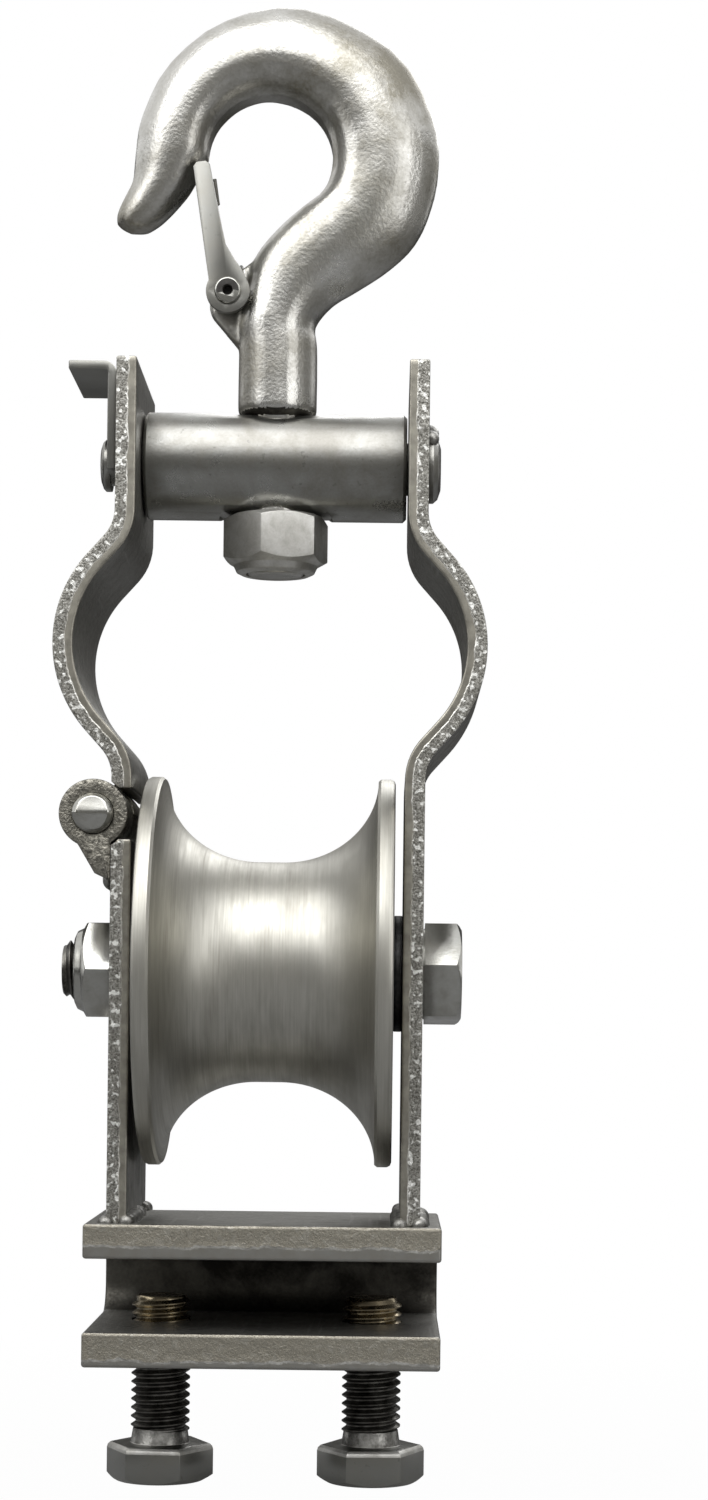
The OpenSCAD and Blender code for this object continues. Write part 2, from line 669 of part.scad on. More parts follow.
module bearing_shields() {
    color(dark) at_bearings() for (side = [-1, 1]) translate([0, 0, side * (bearing_w / 2 - shield_inset - shield_t / 2)])
        rotate_extrude($fn = fine) translate([inner_ring_r + 0.25, -shield_t / 2])
            square([outer_ring_r - inner_ring_r - 0.25, shield_t]);
}

// Sleeve that keeps the two inner rings apart on the bolt.
module bearing_spacer() {
    length = sheave_w - 2 * bearing_w;
    color(bright) translate([0, 0, axle_z]) rotate([0, 90, 0]) rotate_extrude($fn = fine)
        translate([axle_d / 2 + run_fit, -length / 2]) square([2.4, length]);
}

module spacer_washers() {
    color(dark) for (side = [-1, 1]) translate([side * (sheave_w / 2 + washer_gap + washer_t / 2), 0, axle_z])
        rotate([0, 90, 0]) rotate_extrude($fn = fine)
            translate([axle_d / 2 + run_fit, -washer_t / 2])
                square([washer_od / 2 - axle_d / 2 - run_fit, washer_t]);
}

// Bolt from the right, with its head outside the fixed strap.
washer_face_t = 0.5;
module axle_bolt() {
    nut_end = -outer_x - axle_nut_hex - axle_nut_collar - axle_tail;
    color(bright) translate([0, 0, axle_z]) rotate([0, 90, 0]) {
        rotate_extrude($fn = fine) polygon([[0, nut_end], [axle_d / 2 - 1, nut_end],
            [axle_d / 2, nut_end + 1], [axle_d / 2, outer_x], [axle_flats / 2 - 0.3, outer_x],
            [axle_flats / 2 - 0.3, outer_x + washer_face_t], [0, outer_x + washer_face_t]]);
        translate([0, 0, outer_x + washer_face_t]) hex_head(axle_flats, head_h, 21);
    }
}

module axle_nut() {
    color(bright) translate([-outer_x, 0, axle_z]) rotate([0, -90, 0])
        lock_nut(axle_flats, axle_d, axle_nut_hex, axle_nut_collar, 30);
}

module axle_nut_insert() {
    color("white") translate([-outer_x, 0, axle_z]) rotate([0, -90, 0])
        lock_ring(axle_d, axle_nut_hex);
}

hook();
hook_nut();
hook_nut_insert();
latch();
latch_rivet();
latch_spring();
cross_bar();
fixed_strap();
lower_strap();
gate_strap();
gate_eye();
frame_eyes();
hinge_pin();
lock_plate();
clamp_body();
strap_welds();
clamp_screw_left();
clamp_screw_right();
sheave_wheel();
bearing_outer_rings();
bearing_inner_rings();
bearing_balls();
bearing_shields();
bearing_spacer();
spacer_washers();
axle_bolt();
axle_nut();
axle_nut_insert();
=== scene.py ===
"""Looks of a hook-hung cable pulley: forged swivel hook, bent straps, turned wheel and screw clamp.

The script is laid out as an add-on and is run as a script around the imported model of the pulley.
"""
import math

import bmesh
import bpy
from mathutils import Matrix, Vector, noise


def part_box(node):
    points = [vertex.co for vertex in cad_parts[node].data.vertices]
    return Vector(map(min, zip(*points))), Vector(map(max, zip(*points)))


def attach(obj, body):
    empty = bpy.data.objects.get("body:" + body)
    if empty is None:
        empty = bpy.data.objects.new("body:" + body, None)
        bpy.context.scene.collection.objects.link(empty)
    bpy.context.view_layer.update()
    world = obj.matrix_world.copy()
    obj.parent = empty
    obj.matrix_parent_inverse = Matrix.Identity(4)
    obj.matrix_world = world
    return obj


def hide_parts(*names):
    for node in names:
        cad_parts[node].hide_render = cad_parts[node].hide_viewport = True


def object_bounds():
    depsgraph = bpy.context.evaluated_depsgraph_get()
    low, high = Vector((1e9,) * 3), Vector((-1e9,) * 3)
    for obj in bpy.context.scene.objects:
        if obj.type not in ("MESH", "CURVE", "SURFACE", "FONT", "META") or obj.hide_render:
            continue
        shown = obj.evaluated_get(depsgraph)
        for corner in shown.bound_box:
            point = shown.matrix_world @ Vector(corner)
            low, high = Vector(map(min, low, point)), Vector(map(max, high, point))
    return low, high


bl_info = {
    "name": "Cable pulley looks",
    "version": (1, 0, 0),
    "blender": (4, 5, 0),
    "location": "View3D > Sidebar > Pulley",
    "description": "Builds the visible pieces and finishes of a hook-hung cable pulley",
    "category": "Object",
}

MM = 0.001
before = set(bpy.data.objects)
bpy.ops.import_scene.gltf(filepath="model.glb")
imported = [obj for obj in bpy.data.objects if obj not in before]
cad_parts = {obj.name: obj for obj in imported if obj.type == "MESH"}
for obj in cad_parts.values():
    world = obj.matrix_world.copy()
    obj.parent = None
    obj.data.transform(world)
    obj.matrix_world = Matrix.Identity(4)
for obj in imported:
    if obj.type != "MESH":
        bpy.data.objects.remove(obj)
cad_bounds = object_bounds()

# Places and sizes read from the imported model.
BAR_LOW, BAR_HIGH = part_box("cross_bar")
BAR_CENTRE = Vector((0, 0, (BAR_LOW[2] + BAR_HIGH[2]) / 2))
WHEEL_LOW, WHEEL_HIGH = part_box("sheave_wheel")
AXLE_Z = (WHEEL_LOW[2] + WHEEL_HIGH[2]) / 2
PIN_LOW, PIN_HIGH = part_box("hinge_pin")
PIN_X = (PIN_LOW[0] + PIN_HIGH[0]) / 2
PIN_Z = (PIN_LOW[2] + PIN_HIGH[2]) / 2
FIXED_LOW, FIXED_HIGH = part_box("fixed_strap")
LOWER_LOW, LOWER_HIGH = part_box("lower_strap")
GATE_LOW, GATE_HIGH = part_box("gate_strap")
CLAMP_LOW, CLAMP_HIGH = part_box("clamp_body")
RIVET_LOW, RIVET_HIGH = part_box("latch_rivet")
RIVET_X = (RIVET_LOW[0] + RIVET_HIGH[0]) / 2
RIVET_Z = (RIVET_LOW[2] + RIVET_HIGH[2]) / 2
STRAP_THICKNESS = LOWER_HIGH[0] - LOWER_LOW[0]
STRAP_WIDTH = LOWER_HIGH[1] - LOWER_LOW[1]
STRAP_MIDDLE = FIXED_LOW[0] + STRAP_THICKNESS / 2

EYE_ROOM = 7.15 * MM  # radius that the straps leave free around the hinge
M12_RADIUS = 6.0 * MM


def size(name, description, default):
    """A length property in metres."""
    return bpy.props.FloatProperty(name=name, description=description, default=default,
                                   subtype="DISTANCE", unit="LENGTH", precision=5)


def colour(name, description, default):
    """A colour property."""
    return bpy.props.FloatVectorProperty(name=name, description=description, default=default,
                                         subtype="COLOR", size=3, min=0.0, max=1.0)


class PulleySizes(bpy.types.PropertyGroup):
    """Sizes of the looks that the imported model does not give."""
    hook_voxel: size("Hook detail", "Grid that the forged hook is smoothed on", 0.55 * MM)
    forge_depth: size("Forge marks", "Depth of the hook's shallow forge marks", 0.28 * MM)
    bowl_radius: size("Bowl radius", "Inner radius of the hook's bowl", 12.4 * MM)
    bowl_trim: size("Bowl trim", "How deep the inner side of the bowl is trimmed flat", 0.32 * MM)
    bowl_centre_x: size("Bowl centre X", "Sideways place of the bowl's centre", -2 * MM)
    bowl_centre_z: size("Bowl centre Z", "Height of the bowl's centre", -12.4 * MM)
    bend_radius: size("Strap bend", "Middle radius of the straps' small bends", 10 * MM)
    bow_radius: size("Strap bow", "Middle radius of the straps' bow", 24 * MM)
    bow_centre_z: size("Bow height", "Height of the widest point of the bow", -113.5 * MM)
    bow_slope: bpy.props.FloatProperty(name="Bow slope", description="Slope of the strap by its bow",
                                       default=math.radians(42), subtype="ANGLE")
    clamp_thickness: size("Clamp plate", "Plate thickness of the clamp", 6.8 * MM)
    clamp_bend: size("Clamp bend", "Inner radius of the clamp's bends", 5.5 * MM)
    shear_step: size("Shear tear", "How far the torn part of a sheared edge stands back", 0.16 * MM)
    thread_pitch: size("Thread pitch", "Pitch of the screw threads", 1.75 * MM)
    thread_depth: size("Thread depth", "Depth of the screw threads", 0.95 * MM)
    spring_wire: size("Spring wire", "Wire thickness of the latch spring", 0.9 * MM)
    weld_radius: size("Weld bead", "Radius of the weld beads", 1.9 * MM)


class PulleyColours(bpy.types.PropertyGroup):
    """Colours of the finishes."""
    forged_light: colour("Forged light", "Bright zinc on the hook", (0.64, 0.635, 0.61))
    forged_dark: colour("Forged dark", "Brownish zinc on the hook", (0.26, 0.245, 0.205))
    strap_light: colour("Strap light", "Bright zinc on the straps", (0.37, 0.365, 0.345))
    strap_dark: colour("Strap dark", "Dull zinc on the straps", (0.18, 0.175, 0.16))
    # Light end of the torn grain, which is partly real tone and partly painted sparkle.
    torn_light: colour("Torn edge", "Sparkling torn steel of sheared edges", (0.62, 0.61, 0.57))
    # Also the lighter tone of the painted shade in the clamp's jaw and under the hook's collar.
    torn_grain_and_shade: colour("Torn edge shade", "Dull grain of sheared edges", (0.12, 0.115, 0.10))
    sawn_light: colour("Clamp edge", "Even grey grain of the clamp's edges", (0.43, 0.41, 0.355))
    sawn_dark: colour("Clamp edge shade", "Darker grain of the clamp's edges", (0.3, 0.28, 0.235))
    turned_light: colour("Turned light", "Bright turned steel", (0.52, 0.51, 0.465))
    turned_dark: colour("Turned dark", "Dull turned steel", (0.28, 0.268, 0.235))
    bar_light: colour("Bar light", "Grey turned zinc of the cross bar", (0.36, 0.36, 0.345))
    bar_dark: colour("Bar dark", "Brownish zinc of the cross bar", (0.2, 0.19, 0.165))
    fastener: colour("Fastener", "Bright plated fasteners", (0.5, 0.5, 0.475))
    screw: colour("Screw", "Dull dark plating of the screws", (0.28, 0.28, 0.265))
    # Painted warm reflection, put on the screws' threads inside the jaw.
    thread_end_reflection: colour("Thread end", "Warm plating of the screws in the jaw", (0.44, 0.37, 0.25))
    sheet: colour("Sheet", "Satin plated sheet of the latch and lock plate", (0.26, 0.26, 0.245))
    spring: colour("Spring", "Dark spring wire", (0.16, 0.155, 0.14))
    bearing: colour("Bearing", "Ground steel of the bearings", (0.62, 0.62, 0.63))
    shield: colour("Shield", "Dark shields and washers", (0.12, 0.12, 0.12))
    nylon: colour("Nylon", "Nylon ring of the axle's lock nut", (0.78, 0.76, 0.68))
    # Near-black: painted shade in the clamp's jaw, under the hook's collar and in the rivet's hollow,
    # and the dark end of the mottle on the threads and welds.
    grime_and_shade: colour("Grime", "Oil and dust in corners and threads", (0.035, 0.032, 0.028))


def sizes():
    return bpy.context.scene.pulley_sizes


class Nodes:
    """Adds nodes to a tree. Each input is given as a socket to link or as a value to set."""

    def __init__(self, tree):
        self.tree = tree

    def feed(self, target, value):
        """Links or sets one input; a colour gets its alpha."""
        if isinstance(value, bpy.types.NodeSocket):
            self.tree.links.new(value, target)
        else:
            target.default_value = (*value, 1.0) if target.type == "RGBA" else value

    def fill(self, node, inputs):
        """Feeds inputs by their names, with underscores for spaces."""
        for key, value in inputs.items():
            self.feed(node.inputs[key.replace("_", " ")], value)
        return node

    def add(self, kind, **inputs):
        return self.fill(self.tree.nodes.new(kind), inputs)

    def group(self, name, **inputs):
        """A node of the named group, which is made on first use."""
        node = self.tree.nodes.new("ShaderNodeGroup")
        node.node_tree = bpy.data.node_groups.get(name) or GROUP_MAKERS[name]()
        return self.fill(node, inputs)

    def math(self, operation, *operands, clamp=False):
        """Output of a Math node."""
        node = self.tree.nodes.new("ShaderNodeMath")
        node.operation = operation
        node.use_clamp = clamp
        for target, operand in zip(node.inputs, operands):
            self.feed(target, operand)
        return node.outputs[0]

    def times(self, first, second):
        return self.math("MULTIPLY", first, second)

    def plus(self, first, second, clamp=False):
        return self.math("ADD", first, second, clamp=clamp)

    def minus(self, first, second):
        return self.math("SUBTRACT", first, second)

    def between(self, share, low, high):
        """A value that goes from low to high with the share."""
        return self.math("MULTIPLY_ADD", share, self.minus(high, low), low)

    def mix(self, factor, first, second):
        """Output of a colour Mix node."""
        node = self.tree.nodes.new("ShaderNodeMix")
        node.data_type = "RGBA"
        for slot, value in ((0, factor), (6, first), (7, second)):
            self.feed(node.inputs[slot], value)
        return node.outputs[2]

    def mix_shaders(self, share, first, second, target):
        """Mixes the outputs of two shader nodes into the target."""
        node = self.tree.nodes.new("ShaderNodeMixShader")
        for slot, value in enumerate((share, first.outputs[0], second.outputs[0])):
            self.feed(node.inputs[slot], value)
        self.feed(target, node.outputs[0])

    def remap(self, value, low, high, to_low=0.0, to_high=1.0):
        """Output of a clamped Map Range node."""
        return self.add("ShaderNodeMapRange", Value=value, From_Min=low, From_Max=high, To_Min=to_low,
                        To_Max=to_high).outputs[0]

    def noise(self, vector, scale, detail=2.0, roughness=0.5, distortion=0.0):
        """Value of a Noise Texture node."""
        return self.add("ShaderNodeTexNoise", Vector=vector, Scale=scale, Detail=detail,
                        Roughness=roughness, Distortion=distortion).outputs["Fac"]


FLOAT, VECTOR, COLOUR = "NodeSocketFloat", "NodeSocketVector", "NodeSocketColor"
SURFACE_OUTPUTS = (("Color", COLOUR), ("Roughness", FLOAT), ("Height", FLOAT))
BRIGHT_SCRATCH = (0.85, 0.85, 0.83)
PALE_GREY, MID_GREY = (0.6, 0.6, 0.6, 1), (0.3, 0.3, 0.3, 1)


def new_group(name, inputs, outputs=SURFACE_OUTPUTS):
    """A new node group: its nodes, its given sockets and the sockets to feed.

    An input without a default is a vector, one with a tuple is a colour and the others are numbers.
    """
    tree = bpy.data.node_groups.new(name, "ShaderNodeTree")
    for label, default in inputs.items():
        kind = VECTOR if default is None else COLOUR if isinstance(default, tuple) else FLOAT
        socket = tree.interface.new_socket(name=label, in_out="INPUT", socket_type=kind)
        if default is not None:
            socket.default_value = default
    for label, kind in outputs:
        tree.interface.new_socket(name=label, in_out="OUTPUT", socket_type=kind)
    given = tree.nodes.new("NodeGroupInput").outputs
    return Nodes(tree), given, tree.nodes.new("NodeGroupOutput").inputs


def zinc_mottle_group():
    """Cloudy zinc with dull patches, fine grain and scattered dark specks."""
    nodes, given, out = new_group("Zinc mottle", {
        "Vector": None, "Light": PALE_GREY, "Dark": MID_GREY, "Patch Scale": 120.0,
        "Grain Scale": 1400.0, "Contrast": 0.5, "Rough Low": 0.25, "Rough High": 0.5, "Specks": 0.3})
    place = given["Vector"]
    patch = nodes.noise(place, given["Patch Scale"], 6.0, 0.62, 0.4)
    grain = nodes.noise(place, given["Grain Scale"], 3.0)
    cloud = nodes.times(nodes.remap(patch, 0.36, 0.66), given["Contrast"])
    fine = nodes.times(nodes.remap(grain, 0.3, 0.7), 0.25)
    dull = nodes.plus(cloud, nodes.times(fine, given["Contrast"]), clamp=True)
    pits = nodes.remap(nodes.noise(place, 620.0, 2.0, 0.6), 0.66, 0.74)
    pits = nodes.times(pits, given["Specks"])
    base = nodes.mix(dull, given["Light"], given["Dark"])
    nodes.feed(out["Color"], nodes.mix(pits, base, (0.05, 0.045, 0.04)))
    nodes.feed(out["Roughness"], nodes.between(dull, given["Rough Low"], given["Rough High"]))
    relief = nodes.plus(nodes.times(patch, 0.5), nodes.times(grain, 0.5))
    nodes.feed(out["Height"], nodes.minus(relief, nodes.times(pits, 0.6)))
    return nodes.tree


def turned_lines_group():
    """Fine circular tool lines about the X axis, for turned steel."""
    nodes, given, out = new_group("Turned lines", {
        "Vector": None, "Light": PALE_GREY, "Dark": MID_GREY, "Line Scale": 2600.0, "Rough Low": 0.22,
        "Rough High": 0.42})
    x, y, z = nodes.add("ShaderNodeSeparateXYZ", Vector=given["Vector"]).outputs
    radius = nodes.math("SQRT", nodes.plus(nodes.times(y, y), nodes.times(z, z)))
    track = nodes.minus(x, radius)
    turn = nodes.math("ARCTAN2", y, z)

    def ringed_noise(scale, around, detail, roughness):
        """Noise that changes quickly along the profile and slowly around the axis."""
        cosine, sine = (nodes.times(nodes.math(part, turn), around) for part in ("COSINE", "SINE"))
        spot = nodes.add("ShaderNodeCombineXYZ", X=nodes.times(track, scale), Y=cosine, Z=sine)
        return nodes.noise(spot.outputs[0], 1.0, detail, roughness)
    lines = ringed_noise(given["Line Scale"], 1.0, 4.0, 0.7)
    bands = ringed_noise(260.0, 1.6, 3.0, 0.6)
    share = nodes.plus(nodes.remap(lines, 0.35, 0.7, 0.0, 0.4), nodes.remap(bands, 0.4, 0.7, 0.0, 0.45),
                       clamp=True)
    nodes.feed(out["Color"], nodes.mix(share, given["Light"], given["Dark"]))
    nodes.feed(out["Roughness"], nodes.between(share, given["Rough Low"], given["Rough High"]))
    nodes.feed(out["Height"], lines)
    return nodes.tree


def torn_edge_group():
    """A sheared edge: a smooth burnished strip beside rough, sparkling torn steel, with painted glints
    on the torn steel and a painted highlight line where the two meet.
    """
    nodes, given, out = new_group("Sheared edge", {
        "Vector": None, "Across": 0.0, "Burnish Share": 0.35, "Smooth": PALE_GREY, "Torn": PALE_GREY,
        "Dark": MID_GREY, "Sparkle": 1.0, "Glints": 0.8})
    place = given["Vector"]
    wander = nodes.times(nodes.minus(nodes.noise(place, 190.0, 4.0, 0.65), 0.5), 0.4)
    past = nodes.minus(nodes.plus(given["Across"], wander), given["Burnish Share"])
    torn_mask = nodes.remap(past, -0.02, 0.03)
    grain = nodes.noise(place, 2400.0, 3.0, 0.65)
    cloud = nodes.noise(place, 330.0, 3.0, 0.6)
    # Grain of the torn steel between its dark and light colours, partly real tone and partly painted
    # sparkle.
    sparkle = nodes.times(nodes.remap(grain, 0.36, 0.72), nodes.remap(cloud, 0.3, 0.65, 0.5, 1.0))
    torn = nodes.mix(nodes.times(sparkle, given["Sparkle"]), given["Dark"], given["Torn"])
    # Painted glints: sparse near-white specks mixed into the torn steel's colour as highlights.
    painted_glint = nodes.remap(nodes.noise(place, 820.0, 1.5), 0.57, 0.64)
    torn = nodes.mix(nodes.times(painted_glint, given["Glints"]), torn, (0.85, 0.85, 0.82))
    smooth = nodes.mix(nodes.remap(cloud, 0.35, 0.65, 0.0, 0.45), given["Smooth"], given["Dark"])
    face = nodes.mix(torn_mask, smooth, torn)
    # Painted highlight: a bright wavy line where the burnished strip meets the torn steel.
    painted_highlight_line = nodes.times(nodes.remap(past, -0.05, -0.01), nodes.remap(past, 0.01, 0.045, 1.0, 0.0))
    painted_highlight_line = nodes.times(painted_highlight_line, nodes.remap(cloud, 0.4, 0.6, 0.15, 0.8))
    nodes.feed(out["Color"], nodes.mix(painted_highlight_line, face, (0.9, 0.89, 0.85)))
    rough_torn = nodes.remap(grain, 0.4, 0.7, 0.6, 0.36)
    nodes.feed(out["Roughness"], nodes.between(torn_mask, 0.4, rough_torn))
    coarse = nodes.noise(place, 800.0, 2.0, 0.6)
    relief = nodes.plus(nodes.times(grain, 0.6), nodes.times(coarse, 0.4))
    nodes.feed(out["Height"], nodes.times(relief, torn_mask))
    return nodes.tree


def scratch_group():
    """Sparse hairline scratches as a mask."""
    nodes, given, out = new_group("Hairlines", {"Vector": None, "Amount": 0.5}, (("Mask", FLOAT),))
    mask = 0.0
    for turn in (0.4, 1.3, 2.5):
        spin = nodes.add("ShaderNodeMapping", Vector=given["Vector"], Scale=(900.0, 26.0, 60.0),
                         Rotation=(turn, turn * 0.7, turn * 1.9))
        line = nodes.remap(nodes.noise(spin.outputs[0], 1.0, 1.0, 0.4), 0.69, 0.73)
        mask = nodes.math("MAXIMUM", mask, line)
    nodes.feed(out["Mask"], nodes.times(mask, given["Amount"]))
    return nodes.tree


GROUP_MAKERS = {
    "Zinc mottle": zinc_mottle_group,
    "Turned lines": turned_lines_group,
    "Sheared edge": torn_edge_group,
    "Hairlines": scratch_group,
}


def start_material(name, metallic=1.0, centre=(0, 0, 0)):
    """A finish's nodes, its shader's inputs and the object coordinates counted from a centre."""
    material = bpy.data.materials.new("finish_" + name)
    material.use_nodes = True
    nodes = Nodes(material.node_tree)
    shader = nodes.tree.nodes["Principled BSDF"].inputs
    shader["Metallic"].default_value = metallic
    place = nodes.add("ShaderNodeMapping", Vector=nodes.add("ShaderNodeTexCoord").outputs["Object"],
                      Location=[-value for value in centre])
    return nodes, shader, place.outputs[0]


def metal(name, surface_name, bump, depth, scratch=0.0, centre=(0, 0, 0), **inputs):
    """A metal finish from one of the surface groups; the depth of its relief is in mm."""
    nodes, shader, place = start_material(name, centre=centre)
    if surface_name == "Sheared edge":
        across = nodes.add("ShaderNodeAttribute")
        across.attribute_name = "across"
        inputs["Across"] = across.outputs["Fac"]
    surface = nodes.group(surface_name, Vector=place, **inputs).outputs
    base, rough = surface["Color"], surface["Roughness"]
    if scratch:
        hairs = nodes.group("Hairlines", Vector=place, Amount=scratch).outputs["Mask"]
        base = nodes.mix(hairs, base, BRIGHT_SCRATCH)
        rough = nodes.minus(rough, nodes.times(hairs, 0.12))
    relief = nodes.add("ShaderNodeBump", Strength=bump, Distance=depth * MM, Height=surface["Height"])
    nodes.feed(shader["Base Color"], base)
    nodes.feed(shader["Roughness"], rough)
    nodes.feed(shader["Normal"], relief.outputs[0])


def plain(name, base, roughness, metallic, grain_scale=1500.0, variation=0.12):
    """A quiet finish with slight changes of tone."""
    nodes, shader, place = start_material(name, metallic)
    tone = nodes.remap(nodes.noise(place, grain_scale, 3.0), 0.3, 0.7)
    darker = [value * (1.0 - variation * 2) for value in base]
    nodes.feed(shader["Base Color"], nodes.mix(tone, base, darker))
    nodes.feed(shader["Roughness"], nodes.remap(tone, 0.0, 1.0, roughness, roughness + 0.12))


# Zinc finishes: light and dark colour, scales of the patches and the grain, contrast, least and most
# roughness, strength and depth (mm) of the bumps, specks, scratches.
ZINC_FINISHES = {
    "forged": ("forged_light", "forged_dark", 60, 1500, 0.9, 0.25, 0.4, 0.75, 0.18, 0.12, 0),
    "strap": ("strap_light", "strap_dark", 150, 1700, 0.8, 0.3, 0.5, 0.5, 0.2, 0.4, 0.12),
    "clamp": ("strap_light", "strap_dark", 110, 1500, 0.8, 0.32, 0.5, 0.55, 0.25, 0.4, 0.12),
    "bar": ("bar_light", "bar_dark", 120, 2300, 0.6, 0.26, 0.4, 0.45, 0.1, 0.3, 0),
    "fastener": ("fastener", "turned_dark", 260, 2600, 0.5, 0.16, 0.34, 0.3, 0.06, 0.15, 0),
    # nut: the hook's nut, and a painted highlight on the screw heads' chamfers.
    "nut": ("forged_light", "turned_dark", 260, 2600, 0.5, 0.42, 0.56, 0.3, 0.06, 0.15, 0),
    "screw": ("screw", "turned_dark", 150, 2200, 0.3, 0.28, 0.4, 0.3, 0.05, 0.2, 0),
    "thread": ("strap_dark", "grime_and_shade", 420, 2600, 0.8, 0.26, 0.46, 0.4, 0.06, 0.5, 0),
    # thread_end_reflection: the painted warm reflection on the threads inside the jaw.
    "thread_end_reflection": ("thread_end_reflection", "grime_and_shade", 300, 2600, 0.6, 0.2, 0.4, 0.4, 0.06, 0.3, 0),
    "eye": ("sawn_light", "torn_grain_and_shade", 900, 1900, 1.0, 0.3, 0.5, 1.0, 0.34, 0.9, 0),
    # jaw: painted shade for the clamp's inner faces and the hook's underside at the bar.
    "jaw": ("torn_grain_and_shade", "grime_and_shade", 110, 1500, 1.0, 0.42, 0.6, 0.5, 0.2, 0.5, 0),
    "sheet": ("sheet", "turned_dark", 170, 2400, 0.4, 0.36, 0.5, 0.25, 0.05, 0.15, 0),
    "weld": ("strap_light", "grime_and_shade", 380, 2100, 0.7, 0.3, 0.55, 0.7, 0.2, 0.5, 0),
}


def make_finishes():
    """Makes every finish as a material."""
    c = bpy.context.scene.pulley_colours
    for name, row in ZINC_FINISHES.items():
        light, dark, patch, grain, contrast, low, high, bump, depth, specks, scratch = row
        metal(name, "Zinc mottle", bump, depth, scratch, Light=getattr(c, light), Dark=getattr(c, dark),
              Patch_Scale=patch, Grain_Scale=grain, Contrast=contrast, Rough_Low=low, Rough_High=high,
              Specks=specks)
    metal("wheel", "Turned lines", 0.4, 0.06, 0.06, (0, 0, AXLE_Z), Light=c.turned_light,
          Dark=c.turned_dark, Line_Scale=2200.0, Rough_Low=0.37, Rough_High=0.52)
    metal("edge", "Sheared edge", 0.8, 0.26, Smooth=c.sawn_light, Torn=c.torn_light, Dark=c.torn_grain_and_shade,
          Burnish_Share=0.4, Sparkle=1.0, Glints=1.0)
    metal("sawn", "Sheared edge", 0.8, 0.26, Smooth=c.strap_light, Torn=c.sawn_light, Dark=c.sawn_dark,
          Burnish_Share=0.36, Sparkle=0.6, Glints=0.08)
    plain("spring", c.spring, 0.34, 1.0)
    # Near-black painted shade for the rivet's hollow.
    plain("hollow_shade", c.grime_and_shade, 0.6, 0.0)
    plain("bearing", c.bearing, 0.16, 1.0, variation=0.05)
    plain("shield", c.shield, 0.42, 1.0)
    plain("nylon", c.nylon, 0.42, 0.0, 1200.0, 0.05)


def finish(name):
    """A finish by its name; all are made on first use."""
    if "finish_forged" not in bpy.data.materials:
        make_finishes()
    return bpy.data.materials["finish_" + name]


# Mesh helpers.

def new_object(name, data):
    """An object of the data, linked to the scene."""
    made = bpy.data.objects.new(name, data)
    bpy.context.scene.collection.objects.link(made)
    return made


def mesh_from(bm, name):
    """A mesh of a bmesh, which is freed."""
    mesh = bpy.data.meshes.new(name)
    bm.to_mesh(mesh)
    bm.free()
    return mesh


def shade_smooth(mesh):
    mesh.polygons.foreach_set("use_smooth", [True] * len(mesh.polygons))


def piece_from(bm, name, body, materials, smooth_angle=32.0):
    """Makes a mesh object of a bmesh, lets it ride on a body and sets its finishes."""
    mesh = mesh_from(bm, name)
    for material in materials:
        mesh.materials.append(finish(material))
    shade_smooth(mesh)
    mesh.set_sharp_from_angle(angle=math.radians(smooth_angle))
    piece = new_object(name, mesh)
    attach(piece, body)
    return piece


def evaluated_mesh(item):
    """The mesh that an object's modifiers or its curve make."""
    graph = bpy.context.evaluated_depsgraph_get()
    graph.update()
    return bpy.data.meshes.new_from_object(item.evaluated_get(graph))


def apply_modifiers(piece):
    """Replaces a piece's mesh by what its modifiers make of it, and removes them."""
    mesh, old = evaluated_mesh(piece), piece.data
    piece.modifiers.clear()
    piece.data = mesh
    bpy.data.meshes.remove(old)


def melt(piece, grid, iterations):
    """Melts a piece's solids together on a grid and smooths them."""
    blend = piece.modifiers.new("blend", "REMESH")
    blend.mode = "VOXEL"
    blend.voxel_size = grid
    soften = piece.modifiers.new("soften", "SMOOTH")
    soften.factor = 0.5
    soften.iterations = iterations
    apply_modifiers(piece)
    shade_smooth(piece.data)


def node_bmesh(node):
    """A merged copy of a CAD node's mesh, with its flat faces joined."""
    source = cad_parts[node]
    bm = bmesh.new()
    bm.from_mesh(source.data)
    bmesh.ops.transform(bm, matrix=source.matrix_world, verts=bm.verts)
    bmesh.ops.remove_doubles(bm, verts=bm.verts, dist=0.002 * MM)
    bmesh.ops.dissolve_limit(bm, angle_limit=math.radians(0.6), use_dissolve_boundaries=False,
                             verts=bm.verts, edges=bm.edges, delimit={"NORMAL"})
    return bm


def sharp_edges(bm, least_angle):
    """The edges that turn by more than an angle in degrees."""
    return [edge for edge in bm.edges
            if len(edge.link_faces) == 2 and edge.calc_face_angle(0.0) > math.radians(least_angle)]


def bevel(bm, edges, width, segments=2):
    bmesh.ops.bevel(bm, geom=edges, offset=width, offset_type="OFFSET", segments=segments, profile=0.5,
                    affect="EDGES", material=-1, clamp_overlap=True)


def slice_mesh(bm, point, normal, **clear):
    """Cuts all of a bmesh along a plane; clear_outer or clear_inner drops that side."""
    bmesh.ops.bisect_plane(bm, geom=bm.verts[:] + bm.edges[:] + bm.faces[:], dist=1e-7, plane_co=point,
                           plane_no=normal, **clear)


def close_ends(bm):
    bmesh.ops.holes_fill(bm, edges=[edge for edge in bm.edges if edge.is_boundary], sides=0)


def rounded_node(node, body, material, width, segments=2):
    """A copy of a CAD node with rounded edges, which stands for it."""
    bm = node_bmesh(node)
    bevel(bm, sharp_edges(bm, 28.0), width, segments)
    piece = piece_from(bm, node + "_look", body, [material])
    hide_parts(node)
    return piece


def dress_node(node, material):
    """Gives a CAD node that stays its finish."""
    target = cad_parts[node].data
    target.materials.clear()
    target.materials.append(finish(material))


def cut_with(piece, cutters):
    """Cuts the cutters' shapes out of a piece and removes them."""
    for cutter in cutters:
        step = piece.modifiers.new("cut", "BOOLEAN")
        step.operation = "DIFFERENCE"
        step.solver = "EXACT"
        step.object = cutter
    apply_modifiers(piece)
    for cutter in cutters:
        mesh = cutter.data
        bpy.data.objects.remove(cutter)
        bpy.data.meshes.remove(mesh)


